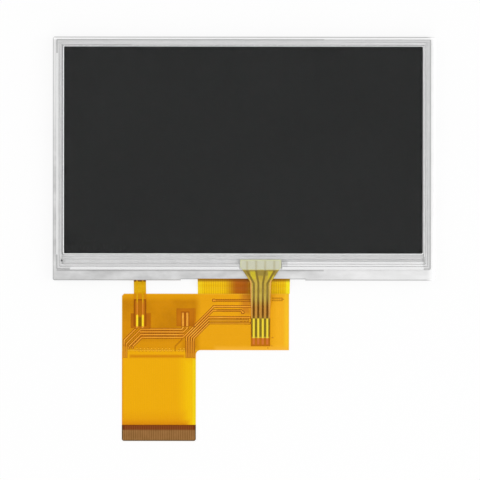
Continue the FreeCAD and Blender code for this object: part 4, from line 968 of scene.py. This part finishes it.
@dataclass(frozen=True)
class Ridges:
    """Low ridges that flat copper lines raise in the film over them.

    Attributes:
        source: the solid with the lines.
        level: height of the lines' tops, in millimetres.
        lift: height of the film's surface.
        rise: height of the ridges over it.
        shoulder: width of the slope at each side of a ridge.
        area: where the film is.
        openings: windows in the film, without ridges.
    """

    source: str
    level: float
    lift: float
    rise: float
    shoulder: float
    area: Region
    openings: tuple[Region, ...]

    def shape(self) -> BMesh:
        """Builds the ridges.

        Returns:
            The shape; its slopes have material index 1.
        """
        shape = bmesh.new()
        shape.from_mesh(NODES[self.source].data)
        bmesh.ops.remove_doubles(shape, verts=shape.verts, dist=1e-7)
        self.keep(shape, self.is_top)
        for cut in (self.area, *self.gaps()):
            self.cut_along(shape, cut)
        self.keep(shape, self.is_under_film)
        self.add_slopes(shape)
        lift = (self.lift + self.rise - self.level) * MM
        bmesh.ops.translate(shape, verts=shape.verts, vec=(0, 0, lift))
        return shape

    def gaps(self) -> list[Region]:
        """Gives the windows with room for the slopes that end at them."""
        return [cut.grown(self.shoulder) for cut in self.openings]

    def is_top(self, face: BMFace) -> bool:
        """Tells whether a face is part of the lines' tops."""
        height = face.calc_center_median().z - self.level * MM
        return face.normal.z > 0.99 and abs(height) < 1e-6

    def is_under_film(self, face: BMFace) -> bool:
        """Tells whether film lies over a face."""
        spot = face.calc_center_median()
        return self.area.holds(spot) and not any(cut.holds(spot) for cut in self.gaps())

    @staticmethod
    def keep(shape: BMesh, wanted: Callable[[BMFace], bool]) -> None:
        """Removes the faces that aren't wanted."""
        away = [face for face in shape.faces if not wanted(face)]
        bmesh.ops.delete(shape, geom=away, context="FACES")

    @staticmethod
    def cut_along(shape: BMesh, cut: Region) -> None:
        """Cuts the faces along the sides of a rectangle.

        Args:
            shape: the faces.
            cut: the rectangle.
        """
        sides = (
            ((cut.left, 0, 0), (1, 0, 0)),
            ((cut.right, 0, 0), (1, 0, 0)),
            ((0, cut.lower, 0), (0, 1, 0)),
            ((0, cut.upper, 0), (0, 1, 0)),
        )
        for point, normal in sides:
            bmesh.ops.bisect_plane(
                shape,
                geom=[*shape.verts, *shape.edges, *shape.faces],
                plane_co=Vector(point) * MM,
                plane_no=normal,
            )

    def add_slopes(self, shape: BMesh) -> None:
        """Adds a slope outside each edge of the tops.

        Each vertex of an edge is moved out along the mean of its sides, so that
        neighbouring slopes meet in a mitre.

        Args:
            shape: the tops; it gets the slopes.
        """
        border = [edge for edge in shape.edges if edge.is_boundary]
        outward: dict[BMVert, list[Vector]] = {}
        for edge in border:
            start, end = edge.verts
            side = (end.co - start.co).cross(Vector((0, 0, 1))).normalized()
            inner = edge.link_faces[0].calc_center_median() - start.co
            if side.dot(inner) > 0:
                side.negate()
            for vert in edge.verts:
                outward.setdefault(vert, []).append(side)
        feet = {}
        for vert, sides in outward.items():
            mean = sum(sides, Vector()).normalized()
            reach = self.shoulder * MM / max(0.4, mean.dot(sides[0]))
            drop = Vector((0, 0, -(self.rise + 0.001) * MM))
            feet[vert] = shape.verts.new(vert.co + mean * reach + drop)
        for edge in border:
            start, end = edge.verts
            slope = shape.faces.new((start, end, feet[end], feet[start]))
            slope.normal_update()
            if slope.normal.z < 0:
                slope.normal_flip()
            slope.material_index = 1


# --- the studio


@dataclass(frozen=True)
class Lamp:
    """A soft square lamp that faces the module."""

    name: str
    place: tuple[float, float, float]
    size: float
    power: float

    def light(self) -> None:
        """Hangs the lamp."""
        lamp = bpy.data.lights.new(self.name, "AREA")
        lamp.size = self.size
        lamp.energy = self.power
        thing = add_object(self.name, lamp)
        thing.location = self.place
        towards = (-Vector(self.place)).to_track_quat("-Z", "Y")
        thing.rotation_euler = towards.to_euler()


@dataclass
class Studio:
    """The camera over the table, the white table and the soft light."""

    view_x: float = -1.11
    view_y: float = -22.46
    view_z: float = 554.4
    roll: float = 0.001
    lens: float = 150.0
    sensor: float = 36.0
    table: float = 3.0
    table_gap: float = 0.05
    table_glow: float = 0.85
    ambient: float = 0.62
    lamps: tuple[Lamp, ...] = (
        Lamp("left_lamp", (-0.75, 0.25, 0.6), 0.84, 2.2),
        Lamp("right_lamp", (0.75, -0.1, 0.65), 0.6, 2.6),
        Lamp("front_lamp", (0.1, -0.85, 0.6), 0.72, 1.6),
    )

    def build(self) -> Iterator[str]:
        """Sets up the camera, the light and the table.

        Yields:
            The name of each piece.
        """
        self.set_camera()
        self.set_world()
        for lamp in self.lamps:
            lamp.light()
        self.lay_table()
        yield "studio"

    def set_camera(self) -> None:
        """Hangs the camera straight over the module."""
        camera = bpy.data.cameras.new("camera")
        camera.lens = self.lens
        camera.sensor_width = self.sensor
        camera.clip_start = 0.01
        thing = add_object("camera", camera)
        thing.location = (self.view_x * MM, self.view_y * MM, self.view_z * MM)
        thing.rotation_euler.z = self.roll
        bpy.context.scene.camera = thing
        bpy.context.scene.view_settings.view_transform = "Standard"

    @staticmethod
    def seen(tree: NodeTree) -> NodeSocket:
        """Gives 1 for what is looked at, also by way of metal and glass.

        Args:
            tree: the node tree.

        Returns:
            1 or 0.
        """
        path = add_node(tree, "ShaderNodeLightPath").outputs
        direct = maths(tree, "MAXIMUM", path["Is Camera Ray"], path["Is Glossy Ray"])
        return maths(tree, "MAXIMUM", direct, path["Is Transmission Ray"])

    def set_world(self) -> None:
        """Makes a white surround whose light on the module is softer."""
        world = bpy.data.worlds.new("white_room")
        world.use_nodes = True
        tree = world.node_tree
        tree.nodes.clear()
        seen = self.seen(tree)
        strength = spread(tree, seen, (0.0, 1.0), (self.ambient, 1.0), "LINEAR")
        white = {"Color": linear("#FFFFFF"), "Strength": strength}
        room = add_node(tree, "ShaderNodeBackground", None, white)
        add_node(tree, "ShaderNodeOutputWorld", None, {"Surface": room.outputs[0]})
        bpy.context.scene.world = world

    def lay_table(self) -> None:
        """Lays the white table under the module; it keeps the module's shadow."""
        shape = bmesh.new()
        bmesh.ops.create_grid(shape, x_segments=1, y_segments=1, size=self.table / 2)
        drop = (0, 0, -self.table_gap * MM)
        bmesh.ops.translate(shape, verts=shape.verts, vec=drop)
        mesh = mesh_from("table", shape)
        table = add_object("table", mesh)
        material = bpy.data.materials.new("white_lacquered_board")
        material.use_nodes = True
        tree = material.node_tree
        tree.nodes.clear()
        white = {"Color": linear("#FFFFFF")}
        board = add_node(tree, "ShaderNodeBsdfDiffuse", None, white).outputs[0]
        glow = add_node(tree, "ShaderNodeEmission", None, {"Strength": 1.0}).outputs[0]
        share = maths(tree, "MULTIPLY", self.seen(tree), self.table_glow)
        mixed = {0: share, 1: board, 2: glow}
        both = add_node(tree, "ShaderNodeMixShader", None, mixed)
        add_node(tree, "ShaderNodeOutputMaterial", None, {"Surface": both.outputs[0]})
        mesh.materials.append(material)


# --- the sub-assemblies


@dataclass
class Shell:
    """The pressed bezel, the rear plate and the moulded frame between them."""

    hem_width: float = 0.3
    hem_level: float = 2.9
    hem_rise: float = 0.05
    hem_corner: float = 0.4
    corner_steps: int = 5

    def build(self) -> Iterator[str]:
        """Dresses the shell and hems its window.

        Yields:
            The name of each piece.
        """
        yield dress("front_bezel", BEZEL_STEEL)
        yield dress("rear_plate", PLATE_STEEL)
        yield dress("light_frame", FRAME_PLASTIC)
        yield self.hem()

    def rounded(self, grow: float) -> Outline:
        """Gives the window's outline, moved outwards, in millimetres.

        Args:
            grow: how far it is moved.

        Returns:
            The corners, anticlockwise.
        """
        radius = self.hem_corner + grow
        centres = (
            (WINDOW.right - self.hem_corner, WINDOW.upper - self.hem_corner, 0),
            (WINDOW.left + self.hem_corner, WINDOW.upper - self.hem_corner, 1),
            (WINDOW.left + self.hem_corner, WINDOW.lower + self.hem_corner, 2),
            (WINDOW.right - self.hem_corner, WINDOW.lower + self.hem_corner, 3),
        )
        return [
            (x + radius * cos(turn), y + radius * sin(turn))
            for x, y, quarter in centres
            for turn in (
                (quarter + step / self.corner_steps) * pi / 2
                for step in range(self.corner_steps + 1)
            )
        ]

    def hem(self) -> str:
        """Builds the hem: a low round-backed ring on the bezel's inner edge.

        Returns:
            The piece's name.
        """
        sections = (
            (0.0, -0.2),
            (0.0, self.hem_rise * 0.4),
            (self.hem_width * 0.2, self.hem_rise * 0.85),
            (self.hem_width * 0.5, self.hem_rise),
            (self.hem_width * 0.8, self.hem_rise * 0.85),
            (self.hem_width, 0.0),
        )
        shape = bmesh.new()
        rings = []
        for grow, height in sections:
            level = (self.hem_level + height) * MM
            outline = self.rounded(grow)
            rings.append([shape.verts.new((x * MM, y * MM, level)) for x, y in outline])
        for low, high in zip(rings, rings[1:]):
            for count in range(len(low)):
                after = (count + 1) % len(low)
                shape.faces.new((low[count], high[count], high[after], low[after]))
        return add_piece("window_hem", shape, "bezel_steel", HEM_STEEL)


@dataclass
class BackLight:
    """The lamp strip, the light guide and the sheets over it."""

    sheets: tuple[str, ...] = (
        "diffuser_sheet",
        "lower_prism_sheet",
        "upper_prism_sheet",
    )

    def build(self) -> Iterator[str]:
        """Dresses the parts of the backlight.

        Yields:
            The name of each piece.
        """
        yield dress("reflector_sheet", REFLECTOR_FILM)
        yield dress("light_guide_plate", GUIDE_ACRYLIC)
        for sheet in self.sheets:
            yield dress(sheet, OPTICAL_FILM)
        yield dress("rim_tape", RIM_TAPE)
        yield dress("led_packages", DIODE_RESIN)
        yield dress("led_strip_flex", STRIP_POLYIMIDE)
        yield dress("led_tail_conductors", STRIP_COPPER)


@dataclass
class DisplayCell:
    """The two glasses with their polarizers, and the driver on the ledge."""

    glasses: tuple[str, ...] = ("array_glass", "colour_filter_glass")
    polarizers: tuple[str, ...] = ("rear_polarizer", "front_polarizer")

    def build(self) -> Iterator[str]:
        """Dresses the parts of the cell.

        Yields:
            The name of each piece.
        """
        for glass in self.glasses:
            yield dress(glass, CELL_GLASS)
        for film in self.polarizers:
            yield dress(film, POLARIZER)
        yield dress("driver_chip", CHIP_SILICON)


@dataclass
class TouchPanel:
    """The touch glass and film with what lies between them, and their tail."""

    dot_x: float = -50.15
    dot_y: float = -28.15
    dot_radius: float = 0.28
    dot_level: float = 4.02
    dot_rise: float = 0.01
    dot_shoulder: float = 0.05

    def build(self) -> Iterator[str]:
        """Dresses the panel and its tail and prints the register dot.

        Yields:
            The name of each piece.
        """
        yield dress("touch_mount_tape", MOUNT_TAPE)
        yield dress("touch_glass", TOUCH_GLASS)
        yield dress("touch_spacer", TOUCH_ADHESIVE)
        yield dress("touch_film", TOUCH_FILM)
        yield dress("touch_glass_bars", SILVER_INK)
        yield dress("touch_film_bars", FILM_SILVER)
        yield dress("touch_tail_film", TAIL_FILM)
        yield dress("touch_tail_conductors", TAIL_INK)
        yield self.register_dot()

    def register_dot(self) -> str:
        """Prints the small dot at the panel's lower left corner.

        Returns:
            The piece's name.
        """
        shape = bmesh.new()
        outline = polygon(self.dot_x, self.dot_y, self.dot_radius, ROUND)
        prism(shape, outline, self.dot_level, self.dot_rise, self.dot_shoulder)
        return add_piece("register_dot", shape, "tail_ink", PRINTED_DOT)


@dataclass
class MainFlex:
    """The main flexible circuit with the forms that its copper raises."""

    cover_top: float = 0.17
    copper_back: float = 0.035
    copper_front: float = 0.135
    cover_area: Region = Region(-33.7, 12.4, -73.65, -37.4)
    windows: tuple[Region, ...] = (
        Region(-31.35, -26.25, -46.9, -42.8),
        Region(-18.7, -13.9, -46.4, -41.4),
        Region(1.925, 7.275, -51.9, -43.85),
    )
    holes: tuple[tuple[float, float, float], ...] = (
        (-8.35, -39.2, 0.5),
        (-0.3, -42.5, 0.5),
        (-28.6, -47.95, 0.34),
        (-16.8, -48.7, 0.34),
        (-31.9, -52.4, 0.34),
        (-30.85, -52.4, 0.34),
        (7.9, -49.5, 0.2),
        (7.75, -51.8, 0.16),
        (6.65, -52.4, 0.16),
    )
    side_lines: tuple[Outline, ...] = (
        ((7.75, -38.6), (10.5, -38.6), (10.8, -38.9), (10.5, -39.2), (7.75, -39.2)),
        ((-17.1, -50.0), (-19.0, -51.9), (-19.0, -53.3)),
    )
    dot_pitch: float = 0.5
    dot_levels: tuple[float, float] = (-53.1, -52.6)
    dot_rows: tuple[tuple[float, int], ...] = ((-30.1, 21), (-18.1, 4))

    def build(self) -> Iterator[str]:
        """Dresses the circuit and raises its ridges, holes and dots.

        Yields:
            The name of each piece.
        """
        yield dress("main_flex_film", FLEX_POLYIMIDE)
        yield dress("main_flex_conductors", FLEX_COPPER)
        yield dress("main_flex_front_traces", FRONT_COPPER)
        yield dress("main_flex_cover", FLEX_COVER)
        yield dress("main_flex_stiffener", STIFFENER)
        yield dress("flex_bond_film", BOND_FILM)
        yield dress("tail_solder_joints", SOLDER)
        yield self.line_ridges()
        yield self.trace_ridges()
        yield self.bumps("plated_holes", self.hole_rims(), TRACE_RIDGES)
        yield self.bumps("side_traces", self.loose_lines(), LINE_RIDGES)
        yield self.bumps("row_of_dots", self.dots(), DOT_TOPS)

    def line_ridges(self) -> str:
        """Raises the ridges over the lines at the back of the film."""
        lines = self.ridges("main_flex_conductors", self.copper_back, 0.006, 0.05)
        return add_piece("line_ridges", lines, "flex_cover", LINE_RIDGES, FLEX_COVER)

    def trace_ridges(self) -> str:
        """Raises the ridges over the traces at the front of the film."""
        lines = self.ridges("main_flex_front_traces", self.copper_front, 0.025, 0.2)
        return add_piece("trace_ridges", lines, "flex_cover", TRACE_RIDGES, TRACE_SIDES)

    def ridges(self, source: str, level: float, rise: float, shoulder: float) -> BMesh:
        """Raises ridges in the cover film over the lines of a solid."""
        surface = self.cover_top, rise, shoulder, self.cover_area, self.windows
        return Ridges(source, level, *surface).shape()

    def hole_rims(self) -> Iterator[Bump]:
        """Gives the rims of the plated holes."""
        for x, y, radius in self.holes:
            yield Bump(polygon(x, y, radius, ROUND), rise=0.03, shoulder=0.4 * radius)

    def loose_lines(self) -> Iterator[Bump]:
        """Gives the loose lines beside the touch tail and the row of dots."""
        for path in self.side_lines:
            yield Bump(ribbon_outline(path, width=0.36), rise=0.02, shoulder=0.12)

    def dots(self) -> Iterator[Bump]:
        """Gives the zigzag row of plated holes along the wide part's lower edge.

        Yields:
            Each of the dots.
        """
        for left, total in self.dot_rows:
            for count in range(total):
                x, y = left + self.dot_pitch * count, self.dot_levels[count % 2]
                dot = polygon(x, y, radius=0.29, sides=ROUND // 2)
                yield Bump(dot, rise=0.02, shoulder=0.07)

    def bumps(self, name: str, forms: Iterator[Bump], finish: Finish) -> str:
        """Raises low bumps in the cover film.

        Args:
            name: the piece's name.
            forms: the bumps.
            finish: the finish of their tops; their slopes are dark.

        Returns:
            The piece's name.
        """
        shape = bmesh.new()
        for form in forms:
            prism(shape, form.outline, self.cover_top, form.rise, form.shoulder)
        shape.normal_update()
        for face in shape.faces:
            face.material_index = int(face.normal.z < 0.99)
        return add_piece(name, shape, "flex_cover", finish, TRACE_SIDES)


def main() -> None:
    """Builds the studio and the module's sub-assemblies in order."""
    logging.basicConfig(level=logging.INFO, format="%(message)s")
    parts = (Studio(), Shell(), BackLight(), DisplayCell(), MainFlex(), TouchPanel())
    for part in parts:
        for piece in part.build():
            LOG.info("%s: %s", type(part).__name__, piece)


if __name__ == "__main__":
    main()
